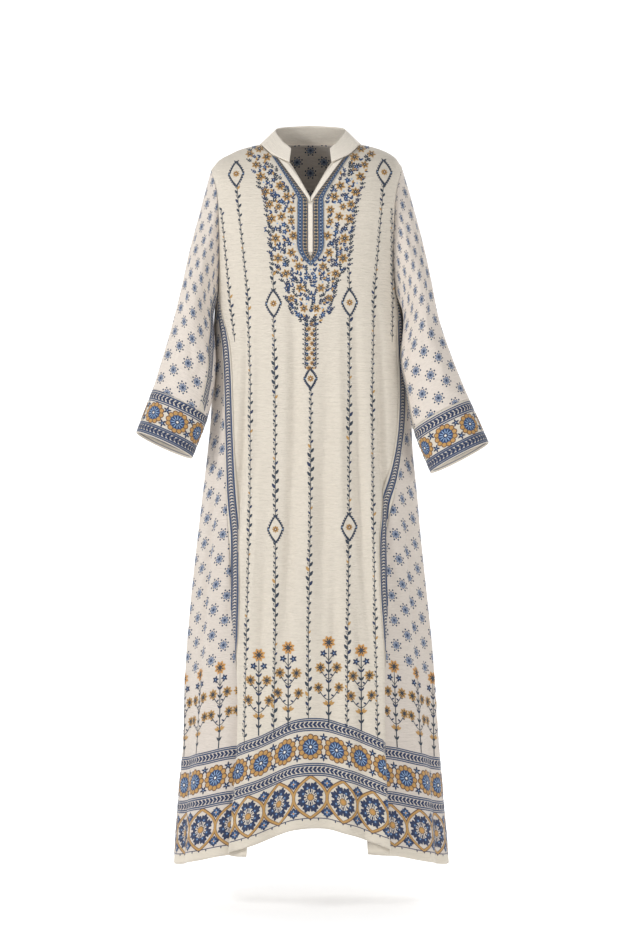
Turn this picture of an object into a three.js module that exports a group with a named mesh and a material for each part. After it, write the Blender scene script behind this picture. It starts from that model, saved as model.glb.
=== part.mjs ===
// A jalabiya as it hangs on a wearer: a long, loose garment with a stand collar, a V neck with a
// short slit, a cream front panel, printed side panels and back, and long sleeves with cuff bands.
// Units are millimetres. +Z is up, the front faces -Y, and +X is the wearer's left.
// The origin lies between the shoulders, where the wearer holds the garment up.
import * as THREE from "three";

// Driving sizes.
const CLOTH = 1.6; // wall of the panels and sleeves
const DOUBLED = 2.0; // wall of the collar and cuffs, which are two layers
const TRIM = 1.2; // bands, braids and facings
const SEAM_GAP = 0.3; // clear space between two sewn edges
const LAY_GAP = 0.8; // clear space under a trim that lies on a smooth panel
const COLLAR_GAP = 1.0; // clear space under the collar's foot
const BAND_GAP = 0.7; // clear space under a band that follows a seam's turns
const NECK_HALF = 97; // half the width of the neck opening at the shoulders
const BUST_Z = -150; // height where the shoulders' rounding ends
const UNDERARM_Z = -292; // lowest point of the armholes
const HEM_Z = -1430; // lowest point of the hem
const SHOULDER_Y = 8; // the shoulder seam lies this far behind the middle
const V_POINT_Z = -108; // bottom of the V neck

// The body's section at each height: half widths to the wearer's right and left, depths to the
// front and back, the power of its rounded outline, and how far out the front panel reaches.
const BODY = [
  { z: 60, right: 190, left: 176, front: 112, back: 100, power: 3.2, edgeRight: 205, edgeLeft: 188 },
  { z: -38, right: 192, left: 176, front: 112, back: 100, power: 3.2, edgeRight: 198, edgeLeft: 181 },
  { z: -90, right: 191, left: 176, front: 112, back: 100, power: 3.2, edgeRight: 185, edgeLeft: 170 },
  { z: -150, right: 190, left: 175, front: 113, back: 101, power: 3.2, edgeRight: 181, edgeLeft: 165 },
  { z: -220, right: 190, left: 175, front: 120, back: 106, power: 3.0, edgeRight: 180, edgeLeft: 163 },
  { z: -292, right: 190, left: 178, front: 124, back: 108, power: 2.7, edgeRight: 182, edgeLeft: 168 },
  { z: -350, right: 193, left: 190, front: 123, back: 107, power: 2.5, edgeRight: 179, edgeLeft: 181 },
  { z: -440, right: 196, left: 198, front: 121, back: 105, power: 2.4, edgeRight: 172, edgeLeft: 189 },
  { z: -535, right: 199, left: 202, front: 120, back: 108, power: 2.4, edgeRight: 169, edgeLeft: 189 },
  { z: -600, right: 205, left: 204, front: 120, back: 112, power: 2.35, edgeRight: 167, edgeLeft: 182 },
  { z: -690, right: 215, left: 213, front: 122, back: 116, power: 2.3, edgeRight: 164, edgeLeft: 164 },
  { z: -780, right: 224, left: 220, front: 124, back: 120, power: 2.3, edgeRight: 160, edgeLeft: 152 },
  { z: -900, right: 234, left: 230, front: 129, back: 125, power: 2.3, edgeRight: 156, edgeLeft: 149 },
  { z: -1050, right: 245, left: 243, front: 136, back: 132, power: 2.3, edgeRight: 151, edgeLeft: 149 },
  { z: -1180, right: 252, left: 253, front: 143, back: 139, power: 2.3, edgeRight: 150, edgeLeft: 149 },
  { z: -1300, right: 262, left: 262, front: 150, back: 146, power: 2.3, edgeRight: 157, edgeLeft: 152 },
  { z: -1430, right: 270, left: 272, front: 157, back: 150, power: 2.3, edgeRight: 168, edgeLeft: 159 },
];
// Height of the shoulder line. Inside the neck it is the height that each surface aims for.
const SHOULDER = [
  { x: -205, front: -46, back: -46 },
  { x: -198, front: -38, back: -38 },
  { x: -182, front: -20, back: -20 },
  { x: -160, front: -8, back: -8 },
  { x: -140, front: 1, back: 1 },
  { x: -97, front: 12, back: 12 },
  { x: -60, front: 18, back: 26 },
  { x: 0, front: 20, back: 36 },
  { x: 60, front: 18, back: 26 },
  { x: 97, front: 12, back: 12 },
  { x: 140, front: 1, back: 1 },
  { x: 168, front: -14, back: -14 },
  { x: 181, front: -31, back: -31 },
  { x: 190, front: -42, back: -42 },
];
// How squarely the front and back round over at the shoulder, as the power of the curve.
const SHOULDER_POWER = { front: 2, back: 3 };
// The neck edge of the front and back panels, by distance from the middle.
const NECKLINE = [
  { x: 0, front: V_POINT_Z, back: 20 },
  { x: 41, front: -36, back: 19 },
  { x: 52, front: -30, back: 18.6 },
  { x: 66, front: -23, back: 18 },
  { x: 76, front: -17, back: 17 },
  { x: 86, front: -10, back: 15.5 },
  { x: 93, front: 0, back: 13.5 },
  { x: NECK_HALF, front: 12, back: 12 },
];
// Height of the hem. The front is caught up in the middle. "at" runs over a panel's width.
const HEM_FRONT = [
  { at: -2, z: -1386 },
  { at: -1.2, z: -1386 },
  { at: -0.75, z: -1366 },
  { at: -0.5, z: -1350 },
  { at: -0.2, z: -1331 },
  { at: 0.15, z: -1329 },
  { at: 0.5, z: -1341 },
  { at: 0.8, z: -1358 },
  { at: 1.2, z: -1380 },
  { at: 2, z: -1380 },
];
const HEM_SIDE = [
  { at: 0, z: -1383 },
  { at: 0.1, z: -1388 },
  { at: 0.25, z: -1404 },
  { at: 0.5, z: -1423 },
  { at: 0.8, z: -1420 },
  { at: 1, z: -1408 },
];
const HEM_BACK = [
  { at: -1, z: -1408 },
  { at: -0.5, z: -1388 },
  { at: 0, z: -1376 },
  { at: 0.5, z: -1386 },
  { at: 1, z: -1408 },
];
const LIFT_TOP_Z = -650; // the hem's lift fades out from LIFT_FULL_Z up to here
const LIFT_FULL_Z = -1150;

// The knife pleat behind each front seam: the front panel turns back under itself.
// Below "topZ" it deepens to "depth" at "fullZ". The turned part lies "clear" in front of the side
// panel and "layers" behind the front, and the clearance starts "lapRise" above the pleat. Its
// fold has a radius of "round", and "reach" is the width counted back from the seam.
const PLEAT = {
  topZ: -860,
  fullZ: -1330,
  depth: 46,
  layers: 13,
  clear: 4,
  lapRise: 80,
  round: 6,
  reach: 50,
};

// Soft vertical folds of the body. "around" is the angle from the front middle, positive to the
// wearer's left. Each grows from "topZ" down to "depth" at the hem, inwards where negative.
const BODY_FOLDS = [
  { around: -31, spread: 4.5, depth: -6, topZ: -560 },
  { around: -22, spread: 5, depth: 6, topZ: -640 },
  { around: -13, spread: 3.5, depth: -9, topZ: -760 },
  { around: -4, spread: 5, depth: 7, topZ: -700 },
  { around: 5, spread: 4, depth: -6, topZ: -520 },
  { around: 12, spread: 3.5, depth: 8, topZ: -820 },
  { around: 19, spread: 3.5, depth: -8, topZ: -600 },
  { around: 29, spread: 4.5, depth: 5, topZ: -560 },
  { around: 55, spread: 7, depth: 7, topZ: -760 },
  { around: 70, spread: 6, depth: -10, topZ: -620 },
  { around: 92, spread: 8, depth: 5, topZ: -700 },
  { around: 112, spread: 7, depth: -11, topZ: -560 },
  { around: -56, spread: 7, depth: 6, topZ: -700 },
  { around: -72, spread: 6, depth: -9, topZ: -580 },
  { around: -94, spread: 8, depth: 4, topZ: -740 },
  { around: -114, spread: 7, depth: -12, topZ: -600 },
  { around: 131, spread: 7, depth: 12, topZ: -520 },
  { around: 148, spread: 6, depth: -13, topZ: -430 },
  { around: 166, spread: 7, depth: 11, topZ: -560 },
  { around: 181, spread: 6, depth: -12, topZ: -380 },
  { around: 197, spread: 7, depth: 12, topZ: -600 },
  { around: 213, spread: 6, depth: -10, topZ: -460 },
  { around: 230, spread: 7, depth: 10, topZ: -540 },
];

// Sleeve stations from the armhole to the wrist: the outer and inner edges, the middle's place in
// depth, half the depth, and how far the opening tilts to the front.
const SLEEVES = {
  right: [
    { outX: -198, outZ: -38, inX: -186, inZ: -292, midY: 4, deep: 62, tilt: 0 },
    { outX: -221, outZ: -125, inX: -190, inZ: -322, midY: -14, deep: 62, tilt: 0 },
    { outX: -239, outZ: -200, inX: -190, inZ: -352, midY: -32, deep: 58, tilt: 0 },
    { outX: -254, outZ: -275, inX: -187, inZ: -392, midY: -48, deep: 54, tilt: 0 },
    { outX: -272, outZ: -350, inX: -186, inZ: -436, midY: -58, deep: 50, tilt: 2 },
    { outX: -292, outZ: -420, inX: -191, inZ: -484, midY: -62, deep: 47, tilt: 5 },
    { outX: -311, outZ: -482, inX: -203, inZ: -537, midY: -64, deep: 45, tilt: 8 },
    { outX: -343, outZ: -567, inX: -233, inZ: -616, midY: -68, deep: 47, tilt: 8 },
  ],
  left: [
    { outX: 183, outZ: -33, inX: 172, inZ: -292, midY: 4, deep: 60, tilt: 0 },
    { outX: 206, outZ: -115, inX: 180, inZ: -325, midY: -18, deep: 60, tilt: 0 },
    { outX: 223, outZ: -190, inX: 181, inZ: -358, midY: -40, deep: 57, tilt: 0 },
    { outX: 238, outZ: -265, inX: 178, inZ: -398, midY: -58, deep: 54, tilt: 0 },
    { outX: 253, outZ: -342, inX: 179, inZ: -434, midY: -68, deep: 50, tilt: 2 },
    { outX: 280, outZ: -423, inX: 188, inZ: -478, midY: -74, deep: 47, tilt: 5 },
    { outX: 312, outZ: -502, inX: 202, inZ: -559, midY: -76, deep: 46, tilt: 8 },
    { outX: 350, outZ: -587, inX: 236, inZ: -645, midY: -78, deep: 49, tilt: 8 },
  ],
};
const CUFF_STATION = 6; // the cuff runs from this station to the wrist
const WRIST_STATION = 7;
const ARMHOLE_FADE = 2.4; // stations over which the armhole's shape fades into the sleeve's
const SLEEVE_CLEAR = 6; // a sleeve that lies against the body stays this far off it
const ARMHOLE_TURN = 0.42; // the armhole's edge is the panels' up to this turn, then the side's
const ARMHOLE_CLEAR = 4 * SEAM_GAP; // the sleeve starts this far outside the armhole
const ARMHOLE_TIP = { right: -37.5, left: -30.5 }; // height of the armholes' tops
// Creases of the sleeves, at a turn round the sleeve (0 outside, 0.25 front) and a station.
const SLEEVE_FOLDS = [
  { turn: 0.33, station: 1.3, spread: 0.045, length: 1.1, depth: -5 },
  { turn: 0.2, station: 2.2, spread: 0.05, length: 1.6, depth: 4 },
  { turn: 0.3, station: 3.6, spread: 0.05, length: 1.2, depth: -4 },
  { turn: 0.12, station: 4.4, spread: 0.05, length: 1.4, depth: -3 },
  { turn: 0.7, station: 1.6, spread: 0.05, length: 1.4, depth: -6 },
  { turn: 0.82, station: 3.2, spread: 0.05, length: 1.5, depth: -5 },
  { turn: 0.62, station: 4.2, spread: 0.05, length: 1.3, depth: 4 },
];

// The stand collar from its front end round to the back: where it is sewn on, and its top edge.
const COLLAR = [
  { x: 41, z: -38, face: -1, topX: 38, topY: -64, topZ: -7 },
  { x: 52, z: -33, face: -1, topX: 46, topY: -57, topZ: 1 },
  { x: 66, z: -26, face: -1, topX: 54, topY: -47, topZ: 9 },
  { x: 76, z: -20, face: -1, topX: 60, topY: -36, topZ: 18 },
  { x: 86, z: -10, face: -1, topX: 66, topY: -22, topZ: 28 },
  { x: 95, z: 1, face: -1, topX: 69, topY: -7, topZ: 36 },
  { x: 99.5, z: 11, face: 1, topX: 68, topY: 9, topZ: 42 },
  { x: 91, z: 12.5, face: 1, topX: 62, topY: 25, topZ: 47 },
  { x: 71, z: 15, face: 1, topX: 48, topY: 38, topZ: 51 },
  { x: 40, z: 16, face: 1, topX: 27, topY: 47, topZ: 54 },
  { x: 0, z: 16.5, face: 1, topX: 0, topY: 50, topZ: 56 },
];

// Strips that lie on the front panel beside the V and the slit, for the wearer's left, each from
// its neck end down: outer edge (x, z) and inner edge (x, z). The right ones mirror them.
const FACING = [
  { outX: 64, outZ: -27, inX: 43, inZ: -41 },
  { outX: 37, outZ: -66, inX: 25.5, inZ: -66 },
  { outX: 9.5, outZ: -105, inX: 5.5, inZ: -101 },
  { outX: 0.6, outZ: -117.5, inX: 0.6, inZ: -110 },
];
const BRAID = [
  { outX: 76, outZ: -22, inX: 65, inZ: -27.5 },
  { outX: 51, outZ: -63, inX: 37.8, inZ: -66.6 },
  { outX: 27, outZ: -105, inX: 10.2, inZ: -105.8 },
  { outX: 25.5, outZ: -122, inX: 5.6, inZ: -122 },
  { outX: 25.5, outZ: -165, inX: 5.6, inZ: -165 },
  { outX: 25.5, outZ: -206, inX: 5.6, inZ: -206 },
  { outX: 15, outZ: -228, inX: 3.4, inZ: -220 },
  { outX: 0.6, outZ: -243, inX: 0.6, inZ: -224 },
];
const SLIT_STRIP = { half: 4.4, topZ: -120, bottomZ: -216 };
const SEAM_BAND = 18; // width of the bands along the front seams
const SLEEVE_BAND = { right: [9, 10], left: [11, 12] }; // the sleeve columns that each band covers

const COLOURS = {
  cream: "#e4dac8",
  print: "#dcd3ca",
  border: "#6d7f97",
  plain: "#ece1cf",
  blue: "#5f7da3",
};

const lerp = (a, b, t) => a + (b - a) * t;
const clamp01 = (t) => Math.min(1, Math.max(0, t));
const smooth = (t) => clamp01(t) ** 2 * (3 - 2 * clamp01(t));
const range = (n) => Array.from({ length: n }, (_, i) => i);
const between = (a, b, steps) => range(steps + 1).map((i) => lerp(a, b, i / steps));

// Reads a named column of a table at any value of its key column, smoothly between the rows.
function read(rows, key, column, value) {
  const down = rows[0][key] > rows[rows.length - 1][key];
  const t = down ? -value : value;
  const k = (i) => (down ? -rows[i][key] : rows[i][key]);
  const last = rows.length - 1;
  if (t <= k(0)) return rows[0][column];
  if (t >= k(last)) return rows[last][column];
  let i = 0;
  while (t > k(i + 1)) i++;
  const slope = (j) => {
    const a = Math.max(j - 1, 0);
    const b = Math.min(j + 1, last);
    return (rows[b][column] - rows[a][column]) / (k(b) - k(a));
  };
  const h = k(i + 1) - k(i);
  const s = (t - k(i)) / h;
  const p0 = rows[i][column];
  const p1 = rows[i + 1][column];
  return (
    p0 * (1 + 2 * s) * (1 - s) ** 2 +
    slope(i) * h * s * (1 - s) ** 2 +
    p1 * s * s * (3 - 2 * s) +
    slope(i + 1) * h * s * s * (s - 1)
  );
}

const body = (column, z) => read(BODY, "z", column, z);
const halfWidth = (x, z) => body(x < 0 ? "right" : "left", z);
const edgeOf = (side, z) => body(side < 0 ? "edgeRight" : "edgeLeft", z);

// How far a fold moves the body's surface outwards, at an angle round it in degrees.
function foldDepth(around, z) {
  let sum = 0;
  for (const fold of BODY_FOLDS) {
    const off = ((around - fold.around + 540) % 360) - 180;
    const grown = clamp01((fold.topZ - z) / (fold.topZ - HEM_Z));
    sum += fold.depth * Math.exp(-((off / fold.spread) ** 2)) * grown ** 1.4;
  }
  return sum;
}

// Depth of the body's section at (x, z): face -1 is the front, +1 the back.
function sectionY(x, z, face) {
  const n = body("power", z);
  const share = Math.min(1, Math.abs(x) / halfWidth(x, z));
  return face * body(face < 0 ? "front" : "back", z) * (1 - share ** n) ** (1 / n);
}

// The angle round the section, 0 at the front middle and 180 at the back.
function aroundAt(x, z, face) {
  const share = Math.min(1, Math.abs(x) / halfWidth(x, z));
  const angle = (Math.asin(share ** (body("power", z) / 2)) * 180) / Math.PI;
  return Math.sign(x || 1) * (face < 0 ? angle : 180 - angle);
}

// A point of the body's surface below the bust, at an angle round it, with its folds.
function bodyPoint(around, z) {
  const turn = THREE.MathUtils.degToRad(around);
  const power = (v) => Math.sign(v) * Math.abs(v) ** (2 / body("power", z));
  const x = halfWidth(around, z) * power(Math.sin(turn));
  const y = -body(Math.cos(turn) > 0 ? "front" : "back", z) * power(Math.cos(turn));
  const out = foldDepth(around, z);
  return [x + out * Math.sin(turn), y - out * Math.cos(turn), z];
}

// How far the bust lies from the shoulder seam in depth, on the lengthwise line through (x, z).
function shoulderReach(x, z, face) {
  const atBust = (x * edgeOf(x, BUST_Z)) / edgeOf(x, z);
  return sectionY(atBust, BUST_Z, face) - SHOULDER_Y;
}

// The front or back surface at (x, z): a rounded shoulder above the bust, the section below it.
function surfaceY(x, z, face) {
  const name = face < 0 ? "front" : "back";
  if (z <= BUST_Z) return sectionY(x, z, face);
  const power = SHOULDER_POWER[name];
  const q = clamp01((z - BUST_Z) / (read(SHOULDER, "x", name, x) - BUST_Z));
  return SHOULDER_Y + shoulderReach(x, z, face) * (1 - q ** power) ** (1 / power);
}

const surfacePoint = (x, z, face) =>
  z > BUST_Z ? [x, surfaceY(x, z, face), z] : bodyPoint(aroundAt(x, z, face), z);

// Moves a point out of the body's section, to at least "clear" outside it.
function clearOfBody(p, clear) {
  const [x, y, z] = p;
  const n = body("power", z);
  const rx = halfWidth(x, z) + clear;
  const ry = body(y < 0 ? "front" : "back", z) + clear;
  const share = (Math.abs(x / rx) ** n + Math.abs(y / ry) ** n) ** (1 / n);
  return share >= 1 ? p : [x / share, y / share, z];
}

// Lowers a point of the body so that the panel ends on its hem.
function liftZ(z, hemZ) {
  return z + (hemZ - HEM_Z) * smooth((LIFT_TOP_Z - z) / (LIFT_TOP_Z - LIFT_FULL_Z));
}

// A panel's rows: 0 to 1 rounds the shoulder, 1 to 2 goes down to the underarm, 2 to 3 to the hem.
function panelRow(row, x, name) {
  if (row <= 1) {
    const shoulder = read(SHOULDER, "x", name, x);
    const isNeck = Math.abs(x) < NECK_HALF;
    const top = isNeck ? read(NECKLINE, "x", name, Math.abs(x)) : shoulder;
    const power = SHOULDER_POWER[name];
    const q = clamp01((top - BUST_Z) / (shoulder - BUST_Z));
    const gap = SEAM_GAP / 2 / Math.abs(shoulderReach(x, top, name === "front" ? -1 : 1));
    const start = Math.max(Math.acos(q ** (power / 2)), gap ** (power / 2));
    return BUST_Z + (shoulder - BUST_Z) * Math.cos(lerp(start, Math.PI / 2, row)) ** (2 / power);
  }
  return row <= 2 ? lerp(BUST_Z, UNDERARM_Z, row - 1) : lerp(UNDERARM_Z, HEM_Z, row - 2);
}

// How deep the knife pleat is at a height.
const pleatDepth = (z) => PLEAT.depth * smooth((PLEAT.topZ - z) / (PLEAT.topZ - PLEAT.fullZ));

// The front panel's x for a column: -1 to 1 covers its middle, and out to -2 or 2 its seam edge,
// which turns back under the panel in the pleat. "under" is 1 on the turned part.
function frontColumn(column, z) {
  const side = Math.sign(column) || 1;
  const edge = edgeOf(side, z) - SEAM_GAP / 2;
  const deep = pleatDepth(z);
  const reach = PLEAT.reach;
  const fromSeam = Math.abs(column) <= 1 ? reach : reach * (2 - Math.abs(column));
  const flat = fromSeam - deep;
  const rounded = lerp(flat, Math.hypot(flat, PLEAT.round), smooth(deep / PLEAT.round / 2));
  const x = edge - rounded;
  const share = Math.min(1, Math.abs(column));
  const under = smooth(0.5 + (deep - fromSeam) / (3 * PLEAT.round)) * smooth(deep / 6);
  return { x: side * x * share, under };
}

// A panel's width follows its height and its height the width, so both are settled in passes.
const SETTLE = { passes: 5, fromZ: -80 };

function frontPoint(column, row) {
  let z = SETTLE.fromZ;
  let at = frontColumn(column, z);
  for (let pass = 0; pass < SETTLE.passes; pass++) {
    at = frontColumn(column, z);
    z = panelRow(row, at.x, "front");
  }
  const back = PLEAT.clear * smooth((PLEAT.topZ + PLEAT.lapRise - z) / PLEAT.lapRise);
  const forward = back + PLEAT.layers * Math.sqrt(pleatDepth(z) / PLEAT.depth);
  const p = surfacePoint(at.x, z, -1);
  const y = p[1] - lerp(forward, back, at.under);
  return [p[0], y, row > 2 ? liftZ(z, read(HEM_FRONT, "at", "z", column)) : z];
}

function backPoint(column, row) {
  let z = SETTLE.fromZ;
  let x = 0;
  for (let pass = 0; pass < SETTLE.passes; pass++) {
    x = column * (edgeOf(Math.sign(column), z) - SEAM_GAP / 2);
    z = panelRow(row, x, "back");
  }
  const p = surfacePoint(x, z, 1);
  return [p[0], p[1], row > 2 ? liftZ(z, read(HEM_BACK, "at", "z", column)) : z];
}

// A side panel: column 0 is its front seam and 1 its back seam.
function sidePoint(side, column, row) {
  const z = lerp(UNDERARM_Z - SEAM_GAP, HEM_Z, row);
  const start = side * (edgeOf(side, z) - pleatDepth(z) + SEAM_GAP / 2);
  const end = side * (edgeOf(side, z) + SEAM_GAP / 2);
  const around = lerp(aroundAt(start, z, -1), aroundAt(end, z, 1), column);
  const p = bodyPoint(around, z);
  return [p[0], p[1], liftZ(z, read(HEM_SIDE, "at", "z", column))];
}

// The armhole as a closed curve: turn 0 is the shoulder, 0.25 the front, 0.5 the underarm.
function armholePoint(side, turn) {
  const isBack = turn > 0.5;
  const t = isBack ? 1 - turn : turn;
  const tipZ = ARMHOLE_TIP[side < 0 ? "right" : "left"];
  if (t <= ARMHOLE_TURN) {
    const z = lerp(tipZ, UNDERARM_Z, t / ARMHOLE_TURN);
    const face = isBack ? 1 : -1;
    const x = side * edgeOf(side, z);
    return [x + side * ARMHOLE_CLEAR, surfaceY(x, z, face), z];
  }
  const across = (t - ARMHOLE_TURN) / (0.5 - ARMHOLE_TURN);
  const along = isBack ? 1 - across / 2 : across / 2;
  const p = sidePoint(side, along, 0);
  return [p[0] + side * ARMHOLE_CLEAR, p[1], UNDERARM_Z + ARMHOLE_CLEAR];
}

const station = (side, column, at) =>
  read(SLEEVES[side < 0 ? "right" : "left"].map((row, i) => ({ at: i, ...row })), "at", column, at);

// The plain tube of a sleeve, before its armhole is fitted.
function sleeveTube(side, turn, at) {
  const angle = 2 * Math.PI * turn;
  const get = (column) => station(side, column, at);
  const across = [(get("outX") - get("inX")) / 2, (get("outZ") - get("inZ")) / 2];
  const c = Math.cos(angle);
  const s = Math.sin(angle);
  return [
    (get("outX") + get("inX")) / 2 + across[0] * c,
    get("midY") - get("deep") * s,
    (get("outZ") + get("inZ")) / 2 + across[1] * c + get("tilt") * s,
  ];
}

function sleeveFold(turn, at) {
  let sum = 0;
  for (const fold of SLEEVE_FOLDS) {
    const off = ((turn - fold.turn + 1.5) % 1) - 0.5;
    const along = (at - fold.station) / fold.length;
    sum += fold.depth * Math.exp(-((off / fold.spread) ** 2) - along * along);
  }
  return sum * smooth(at / 0.6) * smooth((CUFF_STATION - at) / 0.6);
}

function sleevePoint(side, turn, at) {
  const tube = sleeveTube(side, turn, at);
  const first = sleeveTube(side, turn, 0);
  const hole = armholePoint(side, ((turn % 1) + 1) % 1);
  const hold = 1 - smooth(at / ARMHOLE_FADE);
  const angle = 2 * Math.PI * turn;
  const out = sleeveFold(turn, at);
  const p = [
    tube[0] + (hole[0] - first[0]) * hold + side * out * Math.cos(angle),
    tube[1] + (hole[1] - first[1]) * hold - out * Math.sin(angle),
    tube[2] + (hole[2] - first[2]) * hold,
  ];
  return at <= 0 ? p : clearOfBody(p, lerp(2 * SEAM_GAP, SLEEVE_CLEAR, smooth(at / 1.2)));
}

// The outward direction of a surface. "turn" is 1 or -1, as the surface's two ways of counting go.
function normalAt(surface, u, v, turn) {
  const e = 1e-3;
  const at = (a, b) => new THREE.Vector3(...surface(a, b));
  const du = at(u + e, v).sub(at(u - e, v));
  const dv = at(u, v + e).sub(at(u, v - e));
  return du.cross(dv).normalize().multiplyScalar(turn);
}

// A cloth wall whose outer side is a surface moved out by "lay". With "ring" it closes on itself.
function wall(surface, us, vs, { thick = CLOTH, lay = 0, turn = 1, ring = false } = {}) {
  const position = [];
  const index = [];
  for (const depth of [lay + thick, lay]) {
    for (const v of vs) {
      for (const u of us) {
        const p = new THREE.Vector3(...surface(u, v));
        const moved = depth - (lay > 0 ? 0 : thick);
        position.push(...p.addScaledVector(normalAt(surface, u, v, turn), moved).toArray());
      }
    }
  }
  const nu = us.length;
  const nv = vs.length;
  const vertex = (layer, i, j) => layer * nu * nv + j * nu + (i % nu);
  const quad = (a, b, c, d) => (turn > 0 ? index.push(a, b, c, a, c, d) : index.push(a, c, b, a, d, c));
  const columns = range(ring ? nu : nu - 1);
  for (const j of range(nv - 1)) {
    for (const i of columns) {
      quad(vertex(0, i, j), vertex(0, i + 1, j), vertex(0, i + 1, j + 1), vertex(0, i, j + 1));
      quad(vertex(1, i, j), vertex(1, i, j + 1), vertex(1, i + 1, j + 1), vertex(1, i + 1, j));
    }
  }
  for (const i of columns) {
    quad(vertex(1, i, 0), vertex(1, i + 1, 0), vertex(0, i + 1, 0), vertex(0, i, 0));
    const j = nv - 1;
    quad(vertex(0, i, j), vertex(0, i + 1, j), vertex(1, i + 1, j), vertex(1, i, j));
  }
  for (const j of ring ? [] : range(nv - 1)) {
    quad(vertex(0, 0, j), vertex(0, 0, j + 1), vertex(1, 0, j + 1), vertex(1, 0, j));
    const i = nu - 1;
    quad(vertex(1, i, j), vertex(1, i, j + 1), vertex(0, i, j + 1), vertex(0, i, j));
  }
  const geometry = new THREE.BufferGeometry();
  geometry.setAttribute("position", new THREE.Float32BufferAttribute(position, 3));
  geometry.setIndex(index);
  return geometry;
}

const garment = new THREE.Group();
function sew(name, geometry, colour) {
  const color = COLOURS[colour];
  const material = new THREE.MeshStandardMaterial({ color, roughness: 0.85, metalness: 0 });
  const mesh = new THREE.Mesh(geometry, material);
  mesh.name = name;
  garment.add(mesh);
}

// The panels' rows are closest where the pleat begins, and neighbours share them along a seam.
const PLEAT_BEGINS = 2.5;
const PLEAT_HIDDEN = 2.67;
const SKIRT_ROWS = [
  ...between(2, PLEAT_BEGINS, 5),
  ...between(PLEAT_BEGINS, PLEAT_HIDDEN, 7).slice(1),
  ...between(PLEAT_HIDDEN, 3, 4).slice(1),
];
const BAND_END = 2.53; // below it the band turns under the panel with the pleat
const BAND_ROWS = [2.02, ...SKIRT_ROWS.slice(1).filter((row) => row < BAND_END)];
const PANEL_ROWS = [...between(0, 1, 6), ...between(1, 2, 3).slice(1), ...SKIRT_ROWS.slice(1)];
const bandColumns = between(2 - SEAM_BAND / PLEAT.reach, 2, 3);
const edgeColumns = [...between(1, bandColumns[0], 5).slice(1), ...bandColumns.slice(1)];

function frontPanel() {
  const middle = between(-1, 1, 16);
  const columns = [...edgeColumns.map((c) => -c).reverse(), ...middle, ...edgeColumns];
  sew("front_panel", wall(frontPoint, columns, PANEL_ROWS, { turn: -1 }), "cream");
}

function backPanel() {
  sew("back_panel", wall(backPoint, between(-1, 1, 20), PANEL_ROWS, { turn: 1 }), "print");
}

function sidePanel(side, name) {
  const surface = (column, row) => sidePoint(side, column, row);
  const columns = [...between(0, 0.2, 4), ...between(0.2, 1, 9).slice(1)];
  const rows = SKIRT_ROWS.map((row) => row - 2);
  const geometry = wall(surface, columns, rows, { turn: -side });
  sew("side_panel_" + name, geometry, "print");
}

function seamBand(side, name) {
  const columns = bandColumns.map((c) => side * c).sort((a, b) => a - b);
  const geometry = wall(frontPoint, columns, BAND_ROWS, { thick: TRIM, lay: BAND_GAP, turn: -1 });
  sew("seam_band_" + name, geometry, "blue");
}

const SLEEVE_COLUMNS = 24;
const SLEEVE_ROWS = 11;
const CUFF_SEAM = 0.002; // half the gap between sleeve and cuff, in stations
const turns = range(SLEEVE_COLUMNS).map((i) => i / SLEEVE_COLUMNS);
function sleeve(side, name) {
  const surface = (turn, at) => sleevePoint(side, turn, at);
  const sleeveRows = between(0, CUFF_STATION - CUFF_SEAM, SLEEVE_ROWS);
  sew("sleeve_" + name, wall(surface, turns, sleeveRows, { turn: side, ring: true }), "print");
  const cuffRows = between(CUFF_STATION + CUFF_SEAM, WRIST_STATION, 2);
  const cuff = wall(surface, turns, cuffRows, { thick: DOUBLED, turn: side, ring: true });
  sew("cuff_" + name, cuff, "border");
  const columns = SLEEVE_BAND[name].map((i) => i / SLEEVE_COLUMNS);
  const bandRows = sleeveRows.slice(1);
  const band = wall(surface, columns, bandRows, { thick: TRIM, lay: BAND_GAP, turn: side });
  sew("sleeve_band_" + name, band, "blue");
}

// The collar's stations with the foot's outer side, which stands off the panel by the wall.
const COLLAR_ROWS = COLLAR.map((row, i) => {
  const panel = (x, z) => [x, surfaceY(x, z, row.face), z];
  const foot = new THREE.Vector3(...panel(row.x, row.z));
  foot.addScaledVector(normalAt(panel, row.x, row.z, -row.face), COLLAR_GAP + DOUBLED);
  if (row.x === 0) foot.x = 0;
  return { at: i, footX: foot.x, footY: foot.y, footZ: foot.z, ...row };
});

// The collar's outer side: along runs from -1, the right front end, round the back to 1.
function collarPoint(along, up) {
  const side = Math.sign(along) || 1;
  const at = (COLLAR.length - 1) * (1 - Math.abs(along));
  const get = (column) => read(COLLAR_ROWS, "at", column, at);
  const foot = new THREE.Vector3(get("footX"), get("footY"), get("footZ"));
  const top = new THREE.Vector3(get("topX"), get("topY"), get("topZ"));
  const p = foot.lerp(top, up);
  return [side * p.x, p.y, p.z];
}

function collar() {
  const geometry = wall(collarPoint, between(-1, 1, 28), between(0, 1, 2), { thick: DOUBLED });
  sew("collar", geometry, "plain");
}

// A strip on the front panel between two edges given in (x, z).
function neckStrip(rows, side, along, across) {
  const table = rows.map((row, i) => ({ at: i, ...row }));
  const get = (column) => read(table, "at", column, along);
  const x = side * lerp(get("inX"), get("outX"), across);
  const z = lerp(get("inZ"), get("outZ"), across);
  return [x, surfaceY(x, z, -1), z];
}

function neckStrips(side, name) {
  const turn = -side;
  for (const [piece, rows, steps, colour] of [
    ["neck_facing_", FACING, 6, "plain"],
    ["neck_braid_", BRAID, 16, "blue"],
  ]) {
    const surface = (across, along) => neckStrip(rows, side, along, across);
    const along = between(0, rows.length - 1, steps);
    const geometry = wall(surface, between(0, 1, 2), along, { thick: TRIM, lay: LAY_GAP, turn });
    sew(piece + name, geometry, colour);
  }
}

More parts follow.
